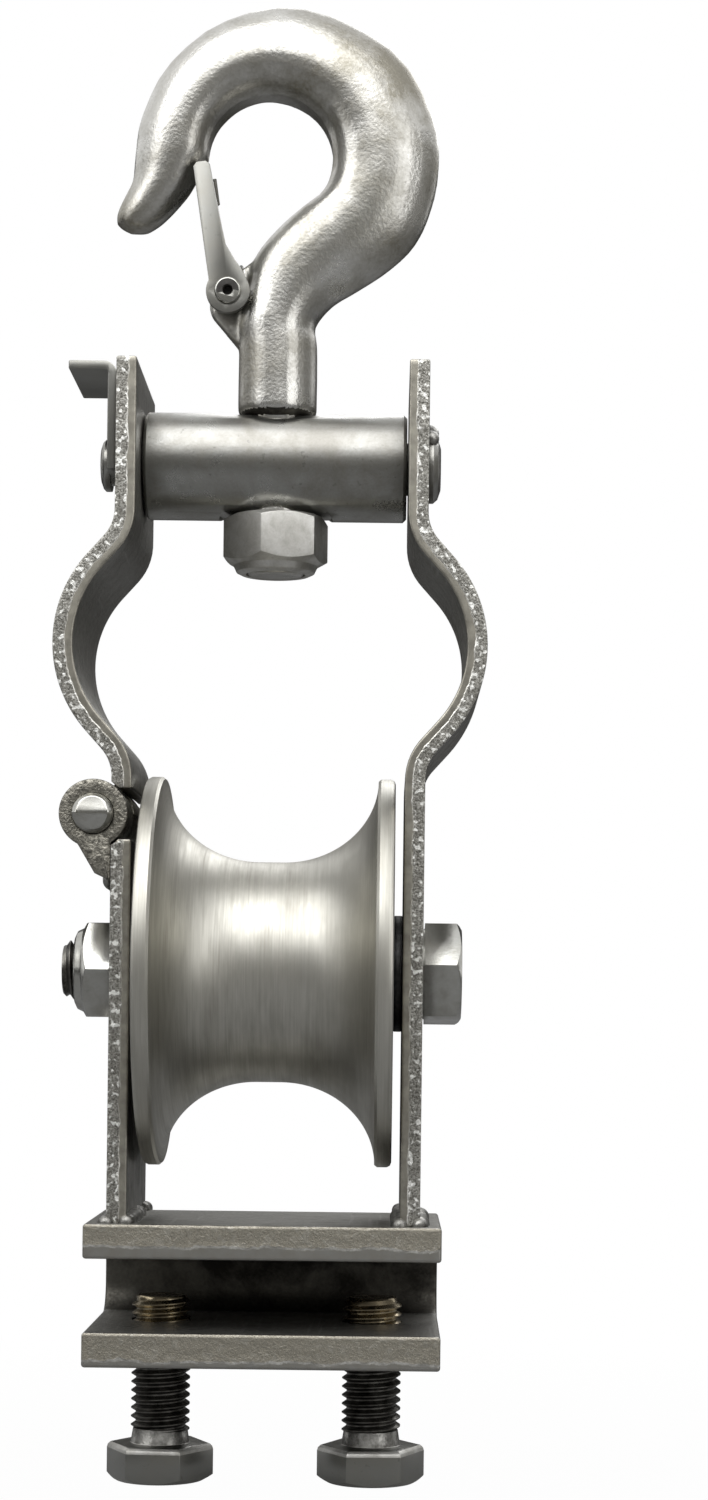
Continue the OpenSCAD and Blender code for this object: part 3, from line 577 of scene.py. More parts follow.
def cylinder_tool(centre, axis, radius, depth):
    """A cutter: a round bar along an axis."""
    bm = bmesh.new()
    turn = Vector((0, 0, 1)).rotation_difference(Vector(axis)).to_matrix().to_4x4()
    bmesh.ops.create_cone(bm, cap_ends=True, segments=96, radius1=radius, radius2=radius, depth=depth,
                          matrix=Matrix.Translation(centre) @ turn)
    return new_object("tool", mesh_from(bm, "tool"))


def ahead(heading):
    return Vector((math.cos(heading), math.sin(heading)))


def leftwards(heading):
    return Vector((-math.sin(heading), math.cos(heading)))


class BentLine:
    """A line of straights and arcs in a plane, with a point and a normal at each length along it."""

    def __init__(self, start, heading):
        self.parts = []
        self.point = Vector(start)
        self.heading = heading
        self.length = 0.0

    def straight(self, length):
        self.parts.append((self.length, length, self.point.copy(), self.heading, 0.0))
        self.point += length * ahead(self.heading)
        self.length += length
        return self

    def turn(self, radius, angle):
        """An arc; a positive angle turns to the left."""
        self.parts.append((self.length, abs(angle) * radius, self.point.copy(), self.heading, angle))
        arm = math.copysign(radius, angle)
        centre = self.point + arm * leftwards(self.heading)
        self.heading += angle
        self.point = centre - arm * leftwards(self.heading)
        self.length += abs(angle) * radius
        return self

    def at(self, along):
        """The point and the left-hand normal at a length along the line."""
        part = [each for each in self.parts if each[0] <= along + 1e-9][-1]
        begin, length, point, heading, angle = part
        local = along - begin
        if angle == 0.0:
            return point + local * ahead(heading), leftwards(heading)
        arm = length / angle
        normal = leftwards(heading + angle * local / length)
        return point + arm * leftwards(heading) - arm * normal, normal


def shear_relief(co, share, facing):
    """How far a point of a sheared edge stands back, from its share of the thickness."""
    burnished, ramp = 0.36, 0.08
    torn = min(max((share + 0.22 * noise.noise(co * 190.0) - burnished) / ramp, 0.0), 1.0)
    grain = 0.5 + 0.5 * noise.noise(co * 620.0) + 0.35 * noise.noise(co * 1500.0)
    return facing * sizes().shear_step * torn * grain


def bent_bar(thickness, width, line, place, step, rows, columns, edge_sides, edge_round):
    """A flat bar with rounded edges, bent along a line.

    place turns (in-plane point, position across the width) into a point of the model. step, rows and
    columns are the parts that its length, thickness and width are cut into. edge_sides are the sides
    that show a sheared edge: 'width' for the long edges and 'ends' for the two ends.
    """
    bm = bmesh.new()
    box = Matrix.Diagonal((thickness, width, line.length, 1.0))
    bmesh.ops.create_cube(bm, size=1.0, matrix=Matrix.Translation((0, 0, line.length / 2)) @ box)
    bevel(bm, bm.edges[:], edge_round, 3)
    cuts = [((0, 0, 1), (0, 0, line.length * i / step)) for i in range(1, step)]
    cuts += [((1, 0, 0), (thickness * (i / rows - 0.5), 0, 0)) for i in range(1, rows)]
    cuts += [((0, 1, 0), (0, width * (i / columns - 0.5), 0)) for i in range(1, columns)]
    for normal, point in cuts:
        slice_mesh(bm, point, normal)
    across = bm.verts.layers.float.new("across")
    on_width = edge_sides == "width"
    for face in bm.faces:
        face.material_index = int(abs(face.normal.y if on_width else face.normal.z) > 0.6)
    flat, torn_shift = width / 2 - edge_round * 0.5, 0.16
    for vert in bm.verts:
        co = vert.co.copy()
        share = co.x / thickness + 0.5
        vert[across] = share
        here, normal = line.at(min(max(co.z, 0.0), line.length))
        plane_point = here + normal * co.x
        if on_width and abs(co.y) > flat:
            co.y -= shear_relief(co, share, math.copysign(1.0, co.y))
        if not on_width:
            vert[across] = share + torn_shift if co.z < line.length / 2 else 1.0 - share
            tangent = Vector((normal.y, -normal.x))
            if co.z < edge_round * 0.5:
                plane_point += tangent * shear_relief(co, vert[across], 1.0)
            elif co.z > line.length - edge_round * 0.5:
                plane_point -= tangent * shear_relief(co, vert[across], 1.0)
        vert.co = place(plane_point, co.y)
    bmesh.ops.recalc_face_normals(bm, faces=bm.faces)
    return bm


def bead(name, body, points, radius, flat=(1.0, 1.0, 1.0), seed=0.0, replaces=()):
    """A weld bead: overlapping puddles along a line, melted together."""
    bm = bmesh.new()
    path = [Vector(point) for point in points]
    spacing, puddle_change, puddle_shift, grid = radius * 0.62, 0.16, radius * 0.14, 0.28 * MM
    placed = []
    for begin, end in zip(path, path[1:]):
        count = max(1, round((end - begin).length / spacing))
        placed += [begin.lerp(end, i / count) for i in range(count)]
    placed.append(path[-1])
    for index, point in enumerate(placed):
        jitter = noise.noise_vector(point * 300.0 + Vector((seed, 0, index * 0.37)))
        spot = Matrix.Translation(point + jitter * puddle_shift) @ Matrix.Diagonal((*flat, 1.0))
        bmesh.ops.create_icosphere(bm, subdivisions=3, radius=radius * (1.0 + puddle_change * jitter.x),
                                   matrix=spot)
    piece = piece_from(bm, name, body, ["weld"])
    melt(piece, grid, 2)
    if replaces:
        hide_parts(*replaces)


def thread_bmesh(radius, low, high, phase, chamfer):
    """A screw thread about the Z axis between two heights, with flat ends and a cone at the top."""
    pitch = sizes().thread_pitch
    root = radius - sizes().thread_depth
    turns = math.ceil((high - low) / pitch) + 3
    steps = 40
    bm = bmesh.new()
    profile = [(root, 0.0), (root, 0.16), (radius, 0.5), (radius, 0.62), (root, 1.0)]
    verts = [bm.verts.new((r, 0, low + (share - 1.5) * pitch)) for r, share in profile]
    edges = [bm.edges.new(pair) for pair in zip(verts, verts[1:])]
    bmesh.ops.spin(bm, geom=verts + edges, cent=(0, 0, 0), axis=(0, 0, 1), dvec=(0, 0, pitch / steps),
                   angle=2 * math.pi * turns, steps=steps * turns, use_merge=False)
    bmesh.ops.remove_doubles(bm, verts=bm.verts, dist=0.01 * MM)
    slice_mesh(bm, (0, 0, low), (0, 0, 1), clear_inner=True)
    slice_mesh(bm, (0, 0, high), (0, 0, 1), clear_outer=True)
    close_ends(bm)
    bmesh.ops.rotate(bm, cent=(0, 0, 0), matrix=Matrix.Rotation(phase, 3, "Z"), verts=bm.verts)
    bmesh.ops.recalc_face_normals(bm, faces=bm.faces)
    for vert in bm.verts:
        most = radius - max(0.0, vert.co.z - high + chamfer)
        flat = math.hypot(vert.co.x, vert.co.y)
        if most < radius and flat > most:
            vert.co.x *= most / flat
            vert.co.y *= most / flat
    return bm


def wire_piece(name, body, points, radius):
    """A round spring wire through the points."""
    curve = bpy.data.curves.new(name, "CURVE")
    curve.dimensions = "3D"
    curve.bevel_depth = radius
    curve.bevel_resolution = 3
    curve.use_fill_caps = True
    spline = curve.splines.new("POLY")
    spline.points.add(len(points) - 1)
    for spot, point in zip(spline.points, points):
        spot.co = (*point, 1.0)
    holder = new_object(name + "_path", curve)
    mesh = evaluated_mesh(holder)
    bm = bmesh.new()
    bm.from_mesh(mesh)
    bmesh.ops.remove_doubles(bm, verts=bm.verts, dist=0.001 * MM)
    bmesh.ops.recalc_face_normals(bm, faces=bm.faces)
    bpy.data.objects.remove(holder)
    bpy.data.curves.remove(curve)
    bpy.data.meshes.remove(mesh)
    return piece_from(bm, name, body, ["spring"], 50.0)


# Operators, one for each piece or group of like pieces.

class PULLEY_OT_hook(bpy.types.Operator):
    """Build the forged hook with its blended lug"""
    bl_idname = "pulley.hook"
    bl_label = "Forged hook"

    def execute(self, context):
        piece = piece_from(node_bmesh("hook"), "hook_forging", "hook", ["forged"])
        melt(piece, sizes().hook_voxel, 6)
        bm = bmesh.new()
        bm.from_mesh(piece.data)
        bm.normal_update()
        depth, broad_scale, fine_scale = sizes().forge_depth, 85.0, 240.0
        for vert in bm.verts:
            broad = noise.noise(vert.co * broad_scale)
            fine = noise.noise(vert.co * fine_scale + Vector((3, 1, 7)))
            vert.co += vert.normal * depth * (0.4 * broad + 0.16 * fine)
        self.trim_bowl(bm)
        bm.to_mesh(piece.data)
        bm.free()
        # Painted shadow: the hook's downward faces just above the bar get the dark jaw finish.
        piece.data.materials.append(finish("jaw"))
        for face in piece.data.polygons:
            if face.normal.z < -0.6 and abs(face.center.z - BAR_HIGH[2]) < 1.5 * MM:
                face.material_index = 1
        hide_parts("hook")
        return {"FINISHED"}

    def trim_bowl(self, bm):
        """Flattens the inner side of the bowl to a trimmed band with an arris on each side."""
        s = sizes()
        centre = Vector((s.bowl_centre_x, 0, s.bowl_centre_z))
        least, lowest = s.bowl_radius + s.bowl_trim, -0.62 * s.bowl_radius
        for vert in bm.verts:
            arm = Vector((vert.co.x - centre.x, 0, vert.co.z - centre.z))
            if arm.length < least and arm.z > lowest:
                arm *= least / arm.length
                vert.co.x = centre.x + arm.x
                vert.co.z = centre.z + arm.z


class PULLEY_OT_latch(bpy.types.Operator):
    """Build the latch, its rivet and its spring"""
    bl_idname = "pulley.latch"
    bl_label = "Latch"

    def execute(self, context):
        rounded_node("latch", "latch", "sheet", 0.28 * MM)
        tube = rounded_node("latch_rivet", "hook", "fastener", 0.22 * MM, 3).data
        # The faces inside the rivet's hollow get a near-black finish as painted shade.
        tube.materials.append(finish("hollow_shade"))
        hollow_radius = 1.15 * MM
        for face in tube.polygons:
            if math.hypot(face.center.x - RIVET_X, face.center.z - RIVET_Z) < hollow_radius:
                face.material_index = 1
        coil = wire_piece("latch_spring_coils", "hook", self.coils(), sizes().spring_wire / 2)
        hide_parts("latch_spring")
        wire_piece("latch_spring_finger", "latch", self.finger(), sizes().spring_wire / 2)
        return {"FINISHED"}

    def coils(self):
        """Two coils beside the lug, joined by a bridge that rests on the hook behind."""
        wire = sizes().spring_wire / 2
        low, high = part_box("latch_spring")
        coil_radius = (high[0] - low[0]) / 2 - wire
        first, last = 2.5 * MM + wire, high[1] - wire
        rest = Vector((-7.6 * MM, 0, -34.6 * MM))
        start, steps, per_turn = math.radians(70), 40, 20
        front = [rest + Vector((0, -1.6 * MM, 0)), rest + Vector((0, -first, -1.4 * MM))]
        for step in range(steps + 1):
            angle = start + step / per_turn * 2 * math.pi
            front.append(Vector((RIVET_X + coil_radius * math.sin(angle),
                                 -first - step / steps * (last - first),
                                 RIVET_Z + coil_radius * math.cos(angle))))
        return front[::-1] + [Vector((point.x, -point.y, point.z)) for point in front]

    def finger(self):
        """The spring's end that shows behind the latch, as lengths along and beside it in mm."""
        lean = math.radians(8.5)
        up = Vector((-math.sin(lean), 0, math.cos(lean)))
        right = Vector((math.cos(lean), 0, math.sin(lean)))
        rivet = Vector((RIVET_X, 0, RIVET_Z))
        return [rivet + up * (along * MM) + right * (beside * MM)
                for along, beside in ((24.6, 0.25), (19.6, 0.3), (18.6, -1.6), (12.5, -0.8))]


class PULLEY_OT_cross_bar(bpy.types.Operator):
    """Build the cross bar and the lock nut under it"""
    bl_idname = "pulley.cross_bar"
    bl_label = "Cross bar"

    def execute(self, context):
        rounded_node("cross_bar", "bar", "bar", 0.3 * MM)
        rounded_node("hook_nut", "hook", "nut", 0.4 * MM, 3)
        dress_node("hook_nut_insert", "spring")
        head = Vector((FIXED_LOW[0] + STRAP_THICKNESS + 0.5 * MM, 0, BAR_CENTRE.z))
        run = [head + Vector((0, y * MM, z * MM)) for y, z in ((-4.6, 5.4), (-1.0, 7.4), (3.6, 6.6))]
        bead("rivet_weld", "bar", run, 1.5 * MM, seed=4.0)
        return {"FINISHED"}


class PULLEY_OT_straps(bpy.types.Operator):
    """Build the three side straps"""
    bl_idname = "pulley.straps"
    bl_label = "Side straps"

    def execute(self, context):
        bar_hole, gate_hole, axle_hole = 5.3 * MM, 6.05 * MM, 6.05 * MM
        eye = (PIN_X, PIN_Z)
        self.strap("fixed_strap", "frame", self.bowed_line(FIXED_HIGH[2], FIXED_LOW[2]), 1,
                   ((BAR_CENTRE.z, bar_hole), (AXLE_Z, axle_hole)), 150)
        self.strap("gate_strap", "gate", self.bowed_line(GATE_HIGH[2], GATE_LOW[2]), -1,
                   ((BAR_CENTRE.z, gate_hole), (eye, EYE_ROOM)), 84)
        low_line = BentLine((STRAP_MIDDLE, LOWER_HIGH[2]), -math.pi / 2)
        low_line.straight(LOWER_HIGH[2] - LOWER_LOW[2])
        self.strap("lower_strap", "frame", low_line, -1, ((AXLE_Z, axle_hole), (eye, EYE_ROOM)), 70)
        return {"FINISHED"}

    def bowed_line(self, top, low):
        """The middle line of a bowed strap in the XZ plane, outwards positive, from its top down."""
        s = sizes()
        slope = s.bow_slope
        bow_out = (FIXED_HIGH[0] - STRAP_THICKNESS) - FIXED_LOW[0]
        curved = (s.bow_radius + s.bend_radius) * (1 - math.cos(slope))
        run = (bow_out - curved) / math.sin(slope)
        half_height = (s.bow_radius + s.bend_radius) * math.sin(slope) + run * math.cos(slope)
        line = BentLine((STRAP_MIDDLE, top), -math.pi / 2)
        line.straight(top - (s.bow_centre_z + half_height))
        line.turn(s.bend_radius, slope).straight(run).turn(s.bow_radius, -2 * slope)
        line.straight(run).turn(s.bend_radius, slope)
        line.straight((s.bow_centre_z - half_height) - low)
        return line

    def strap(self, node, body, line, side, holes, step):
        """A strap on the side +1 or -1. A hole is a height, or a place of the hinge, and a radius."""
        def place(point, y):
            return Vector((side * point.x, y, point.y))
        bm = bent_bar(STRAP_THICKNESS, STRAP_WIDTH, line, place, step, rows=7, columns=6,
                      edge_sides="width", edge_round=0.4 * MM)
        piece = piece_from(bm, node + "_look", body, ["strap", "edge"],
                           smooth_angle=40.0)
        tools = []
        for spot, radius in holes:
            if isinstance(spot, tuple):
                tools.append(cylinder_tool((spot[0], 0, spot[1]), (0, 1, 0), radius, 2 * STRAP_WIDTH))
            else:
                tools.append(cylinder_tool((side * STRAP_MIDDLE, 0, spot), (1, 0, 0), radius,
                                           3 * STRAP_THICKNESS))
        cut_with(piece, tools)
        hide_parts(node)


class PULLEY_OT_hinge(bpy.types.Operator):
    """Build the hinge eyes, their pin and the lock plate"""
    bl_idname = "pulley.hinge"
    bl_label = "Hinge and lock plate"

    def execute(self, context):
        for node, body, way in (("frame_eyes", "frame", -1), ("gate_eye", "gate", 1)):
            self.eyes(node, body, way)
        self.pin()
        rounded_node("lock_plate", "lock", "sheet", 0.3 * MM)
        x = LOWER_LOW[0] - 0.6 * MM
        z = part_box("frame_eyes")[0][2] + 0.2 * MM
        for side, name in ((-1, "front"), (1, "back")):
            run = [(x, side * (STRAP_WIDTH / 2 - inset * MM), z) for inset in (1.6, 10.5)]
            bead("eye_weld_" + name, "frame", run, 1.25 * MM, (0.8, 1.0, 1.5), side * 2.0)
        return {"FINISHED"}

    def pin(self):
        """The hinge pin, whose cropped front end has a ridge across it."""
        bm = node_bmesh("hinge_pin")
        slice_mesh(bm, (0, 0, PIN_Z), (0, 0, 1))
        slope = 0.3
        for vert in bm.verts:
            if vert.co.y < PIN_LOW[1] + 1.0 * MM:
                vert.co.y += slope * abs(vert.co.z - PIN_Z)
        bevel(bm, sharp_edges(bm, 14.0), 0.25 * MM)
        piece = piece_from(bm, "hinge_pin_look", "frame", ["fastener"], 12.0)
        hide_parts("hinge_pin")

    def eyes(self, node, body, way):
        """Rolled hinge eyes with a tail up (1) or down (-1) the strap, and rounded rims."""
        low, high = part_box(node)
        radius = PIN_X - low[0]
        reach = LOWER_LOW[0] - PIN_X
        tail = PIN_Z - low[2] if way < 0 else high[2] - PIN_Z
        bore = (PIN_HIGH[0] - PIN_LOW[0]) / 2 - 1.57 * MM
        corners = [(-1 * MM, 0.0), (reach, 1 * MM), (reach, tail), (0.4 * MM, tail - 1.4 * MM),
                   (-radius * 0.5, radius * 0.8)]
        gate_low, gate_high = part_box("gate_eye")
        gap = 0.1 * MM
        spans = [(low[1], gate_low[1] - gap), (gate_high[1] + gap, high[1])]
        if way > 0:
            spans = [(gate_low[1], gate_high[1])]
        bm = bmesh.new()
        for start, end in spans:
            self.eye(bm, radius, bore, corners, start, end, way)
        bmesh.ops.recalc_face_normals(bm, faces=bm.faces)
        piece = piece_from(bm, node + "_look", body, ["eye"], 40.0)
        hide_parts(node)

    def eye(self, bm, radius, bore, corners, start, end, way):
        """One eye: a face between the bore and the outline, drawn out along the pin."""
        sides = list(zip(corners, corners[1:] + corners[:1]))
        angles = [i * 2 * math.pi / 120 for i in range(120)]
        angles += [math.atan2(z, x) % (2 * math.pi) for x, z in corners[1:]
                   if math.hypot(x, z) > radius]
        rim, hole = [], []
        for angle in sorted(set(round(angle, 5) for angle in angles)):
            out = ahead(angle)
            near_strap = way > 0 and 0.1 < angle < 1.1
            round_part = EYE_ROOM - 0.05 * MM if near_strap else radius
            outer = max([round_part] + [self.crossing(out, a, b) for a, b in sides])
            for loop, reach in ((rim, outer), (hole, bore)):
                loop.append(bm.verts.new((PIN_X + reach * out.x, start, PIN_Z + way * reach * out.y)))
        edges = [bm.edges.new(pair) for loop in (rim, hole) for pair in zip(loop, loop[1:] + loop[:1])]
        front = bmesh.ops.bridge_loops(bm, edges=edges)["faces"]
        drawn = bmesh.ops.extrude_face_region(bm, geom=front, use_keep_orig=True)["geom"]
        back = [part for part in drawn if isinstance(part, bmesh.types.BMVert)]
        bmesh.ops.translate(bm, vec=(0, end - start, 0), verts=back)
        near = 0.01 * MM
        rims = [edge for edge in sharp_edges(bm, 60.0)
                if any(all(abs(vert.co.y - y) < near for vert in edge.verts) for y in (start, end))]
        bevel(bm, rims, 0.35 * MM)

    def crossing(self, way_out, a, b):
        """How far along a direction from the centre the edge from a to b is crossed."""
        edge = Vector(b) - Vector(a)
        det = way_out.x * edge.y - way_out.y * edge.x
        if abs(det) < 1e-12:
            return 0.0
        along = (a[0] * edge.y - a[1] * edge.x) / det
        share = (a[0] * way_out.y - a[1] * way_out.x) / det
        return along if -1e-9 <= share <= 1 + 1e-9 else 0.0


class PULLEY_OT_clamp(bpy.types.Operator):
    """Build the bent clamp plate"""
    bl_idname = "pulley.clamp"
    bl_label = "Clamp"

    def execute(self, context):
        thickness = sizes().clamp_thickness
        bend = sizes().clamp_bend + thickness / 2
        height = CLAMP_HIGH[2] - CLAMP_LOW[2] - thickness
        leg = CLAMP_HIGH[1] - CLAMP_LOW[1] - thickness / 2 - bend
        line = BentLine((CLAMP_LOW[1], CLAMP_LOW[2] + thickness / 2), 0.0)
        line.straight(leg).turn(bend, math.pi / 2).straight(height - 2 * bend)
        line.turn(bend, math.pi / 2).straight(leg)

        def place(point, x):
            return Vector((-x, point.x, point.y))
        bm = bent_bar(thickness, CLAMP_HIGH[0] - CLAMP_LOW[0], line, place, step=96, rows=10,
                      columns=54, edge_sides="ends", edge_round=0.6 * MM)
        # The clamp's inner faces between its legs get the dark jaw finish as painted shade.
        floor, roof = CLAMP_LOW[2] + thickness + 0.1 * MM, CLAMP_HIGH[2] - thickness - 0.1 * MM
        back = CLAMP_HIGH[1] - thickness + 0.3 * MM
        for face in bm.faces:
            at = face.calc_center_median()
            if face.material_index == 0 and floor < at.z < roof and at.y < back:
                face.material_index = 2
        piece = piece_from(bm, "clamp_body_look", "frame", ["clamp", "sawn", "jaw"],
                           smooth_angle=40.0)
        tools = []
        for node in ("clamp_screw_left", "clamp_screw_right"):
            low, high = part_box(node)
            centre = ((low[0] + high[0]) / 2, (low[1] + high[1]) / 2, CLAMP_LOW[2] + thickness / 2)
            tools.append(cylinder_tool(centre, (0, 0, 1), M12_RADIUS + 0.1 * MM, 2 * thickness))
        cut_with(piece, tools)
        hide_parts("clamp_body")
        return {"FINISHED"}


class PULLEY_OT_welds(bpy.types.Operator):
    """Build the weld beads at the feet of the straps"""
    bl_idname = "pulley.welds"
    bl_label = "Welds"

    def execute(self, context):
        z = CLAMP_HIGH[2] + 0.1 * MM
        radius = sizes().weld_radius
        front = -STRAP_WIDTH / 2
        replaces = ("strap_welds",)
        for side, name in ((-1, "left"), (1, "right")):
            inner = side * FIXED_LOW[0]
            for x, face in ((inner, "inner"), (side * (FIXED_LOW[0] + STRAP_THICKNESS), "outer")):
                run = [(x, front + 1.2 * MM, z), (x, front + 24 * MM, z)]
                bead("foot_weld_%s_%s" % (name, face), "frame", run, radius, (1.0, 1.2, 1.0),
                     side + len(face), replaces)
                replaces = ()
            run = [(inner, -front - 6 * MM, z), (inner, -front - 0.6 * MM, z)]
            bead("foot_weld_%s_back" % name, "frame", run, radius * 0.8, seed=side * 5.0)
        return {"FINISHED"}


class PULLEY_OT_fasteners(bpy.types.Operator):
    """Build the clamp screws, the axle bolt and its nut"""
    bl_idname = "pulley.fasteners"
    bl_label = "Fasteners"

    def execute(self, context):
        for node, phase in (("clamp_screw_left", 0.3), ("clamp_screw_right", 2.1)):
            self.clamp_screw(node, phase)
        rounded_node("axle_nut", "frame", "fastener", 0.4 * MM, 3)
        dress_node("axle_nut_insert", "nylon")
        self.axle_bolt()
        return {"FINISHED"}

    def clamp_screw(self, node, phase):
        """A set screw: the CAD's head and a run-out below a threaded shank."""
        low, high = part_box(node)
        centre = Vector(((low[0] + high[0]) / 2, (low[1] + high[1]) / 2, 0))
        head_top = low[2] + 7.5 * MM
        shank_start = head_top + 0.2 * MM
        run_out, run_out_share = 3.0 * MM, 0.92
        rim_radius = 7.5 * MM
        head = node_bmesh(node)
        slice_mesh(head, (0, 0, head_top + run_out), (0, 0, 1), clear_outer=True)
        close_ends(head)
        for vert in head.verts:
            if vert.co.z > shank_start:
                vert.co.x = centre.x + (vert.co.x - centre.x) * run_out_share
                vert.co.y = centre.y + (vert.co.y - centre.y) * run_out_share
        rim = [edge for edge in head.edges
               if all(abs(vert.co.z - head_top) < 0.05 * MM and
                      math.hypot(vert.co.x - centre.x, vert.co.y - centre.y) > rim_radius
                      for vert in edge.verts)]
        bevel(head, rim, 1.3 * MM, 3)
        bevel(head, sharp_edges(head, 28.0), 0.3 * MM)
        # The chamfer round the head's top gets the brighter nut finish as a painted highlight; the
        # run-out gets the weld finish.
        for face in head.faces:
            highlight_chamfer = 0.2 < face.normal.z < 0.95
            face.material_index = 2 if face.calc_center_median().z > shank_start else int(highlight_chamfer)
        body = node.replace("clamp_", "")
        piece = piece_from(head, node + "_head", body, ["screw", "nut", "weld"])
        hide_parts(node)
        bm = thread_bmesh(M12_RADIUS, head_top + 2.6 * MM, high[2], phase, 1.2 * MM)
        bmesh.ops.translate(bm, vec=centre, verts=bm.verts)
        # The threads above the clamp's lower leg, inside the jaw, get a painted warm reflection.
        for face in bm.faces:
            if face.calc_center_median().z > CLAMP_LOW[2] + sizes().clamp_thickness:
                face.material_index = 1
        piece_from(bm, node + "_thread", body, ["thread", "thread_end_reflection"], 40.0)

    def axle_bolt(self):
        """The bolt's head and plain shank from the CAD, with its threaded end beyond the strap."""
        low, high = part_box("axle_bolt")
        start = LOWER_LOW[0] + 0.4 * MM
        shank = node_bmesh("axle_bolt")
        slice_mesh(shank, (start, 0, 0), (-1, 0, 0), clear_outer=True)
        close_ends(shank)
        bevel(shank, sharp_edges(shank, 28.0), 0.4 * MM, 3)
        piece = piece_from(shank, "axle_bolt_shank", "frame", ["fastener"])
        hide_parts("axle_bolt")
        bm = thread_bmesh(M12_RADIUS, -start, -low[0], 1.0, 1.1 * MM)
        turn = Matrix.Translation((0, 0, AXLE_Z)) @ Matrix.Rotation(-math.pi / 2, 4, "Y")
        bmesh.ops.transform(bm, matrix=turn, verts=bm.verts)
        piece_from(bm, "axle_bolt_thread", "frame", ["thread"], 40.0)


class PULLEY_OT_wheel(bpy.types.Operator):
    """Build the turned wheel"""
    bl_idname = "pulley.wheel"
    bl_label = "Grooved wheel"

    def execute(self, context):
        rim = (WHEEL_HIGH[2] - WHEEL_LOW[2]) / 2
        half = WHEEL_HIGH[0]
        groove_half, floor_half, depth = 21.6 * MM, 2.5 * MM, 17 * MM
        seat, step, bore = 16.02 * MM, 10 * MM, 13 * MM
        flank = groove_half - floor_half
        outline = [(half - step, bore), (half - step, seat), (half - 0.4 * MM, seat),
                   (half, seat + 0.4 * MM), (half, rim - 1.0 * MM), (half - 0.25 * MM, rim - 0.35 * MM),
                   (half - 0.9 * MM, rim), (groove_half + 0.5 * MM, rim),
                   (groove_half - 0.05 * MM, rim - 0.45 * MM)]
        count = 28
        for i in range(1, count + 1):
            angle = i / count * math.pi / 2
            outline.append((floor_half + flank * math.cos(angle), rim - depth * math.sin(angle)))
        outline += [(-x, r) for x, r in reversed(outline)]
        bm = bmesh.new()
        verts = [bm.verts.new((x, 0, r)) for x, r in outline]
        edges = [bm.edges.new(pair) for pair in zip(verts, verts[1:] + verts[:1])]
        bmesh.ops.spin(bm, geom=verts + edges, cent=(0, 0, 0), axis=(1, 0, 0), dvec=(0, 0, 0),
                       angle=2 * math.pi, steps=160, use_merge=True)
        bmesh.ops.remove_doubles(bm, verts=bm.verts, dist=0.002 * MM)
        bmesh.ops.translate(bm, vec=(0, 0, AXLE_Z), verts=bm.verts)
        bmesh.ops.recalc_face_normals(bm, faces=bm.faces)
        piece = piece_from(bm, "sheave_wheel_look", "wheel", ["wheel"], 35.0)
        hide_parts("sheave_wheel")
        return {"FINISHED"}


class PULLEY_OT_bearings(bpy.types.Operator):
    """Finish the bearings, the sleeve between them and the washers"""
    bl_idname = "pulley.bearings"
    bl_label = "Bearings and washers"

    def execute(self, context):
        for node in ("bearing_outer_rings", "bearing_inner_rings", "bearing_balls"):
            dress_node(node, "bearing")
        dress_node("bearing_shields", "shield")
        dress_node("bearing_spacer", "fastener")
        rounded_node("spacer_washers", "frame", "shield", 0.25 * MM)
        return {"FINISHED"}


def aimed(place, aim):
    """The matrix of a thing at a place that looks at a point."""
    turn = (aim - place).to_track_quat("-Z", "Y").to_matrix().to_4x4()
    return Matrix.Translation(place) @ turn


def sheet_object(name, width, height, grey):
    """A flat rectangle with a dull material of its own."""
    bm = bmesh.new()
    bmesh.ops.create_grid(bm, x_segments=1, y_segments=1, size=0.5,
                          matrix=Matrix.Diagonal((width, height, 1, 1)))
    material = bpy.data.materials.new(name)
    material.use_nodes = True
    shader = material.node_tree.nodes["Principled BSDF"]
    shader.inputs["Base Color"].default_value = (*grey, 1)
    shader.inputs["Roughness"].default_value = 0.9
    sheet = new_object(name, mesh_from(bm, name))
    sheet.data.materials.append(material)
    return sheet


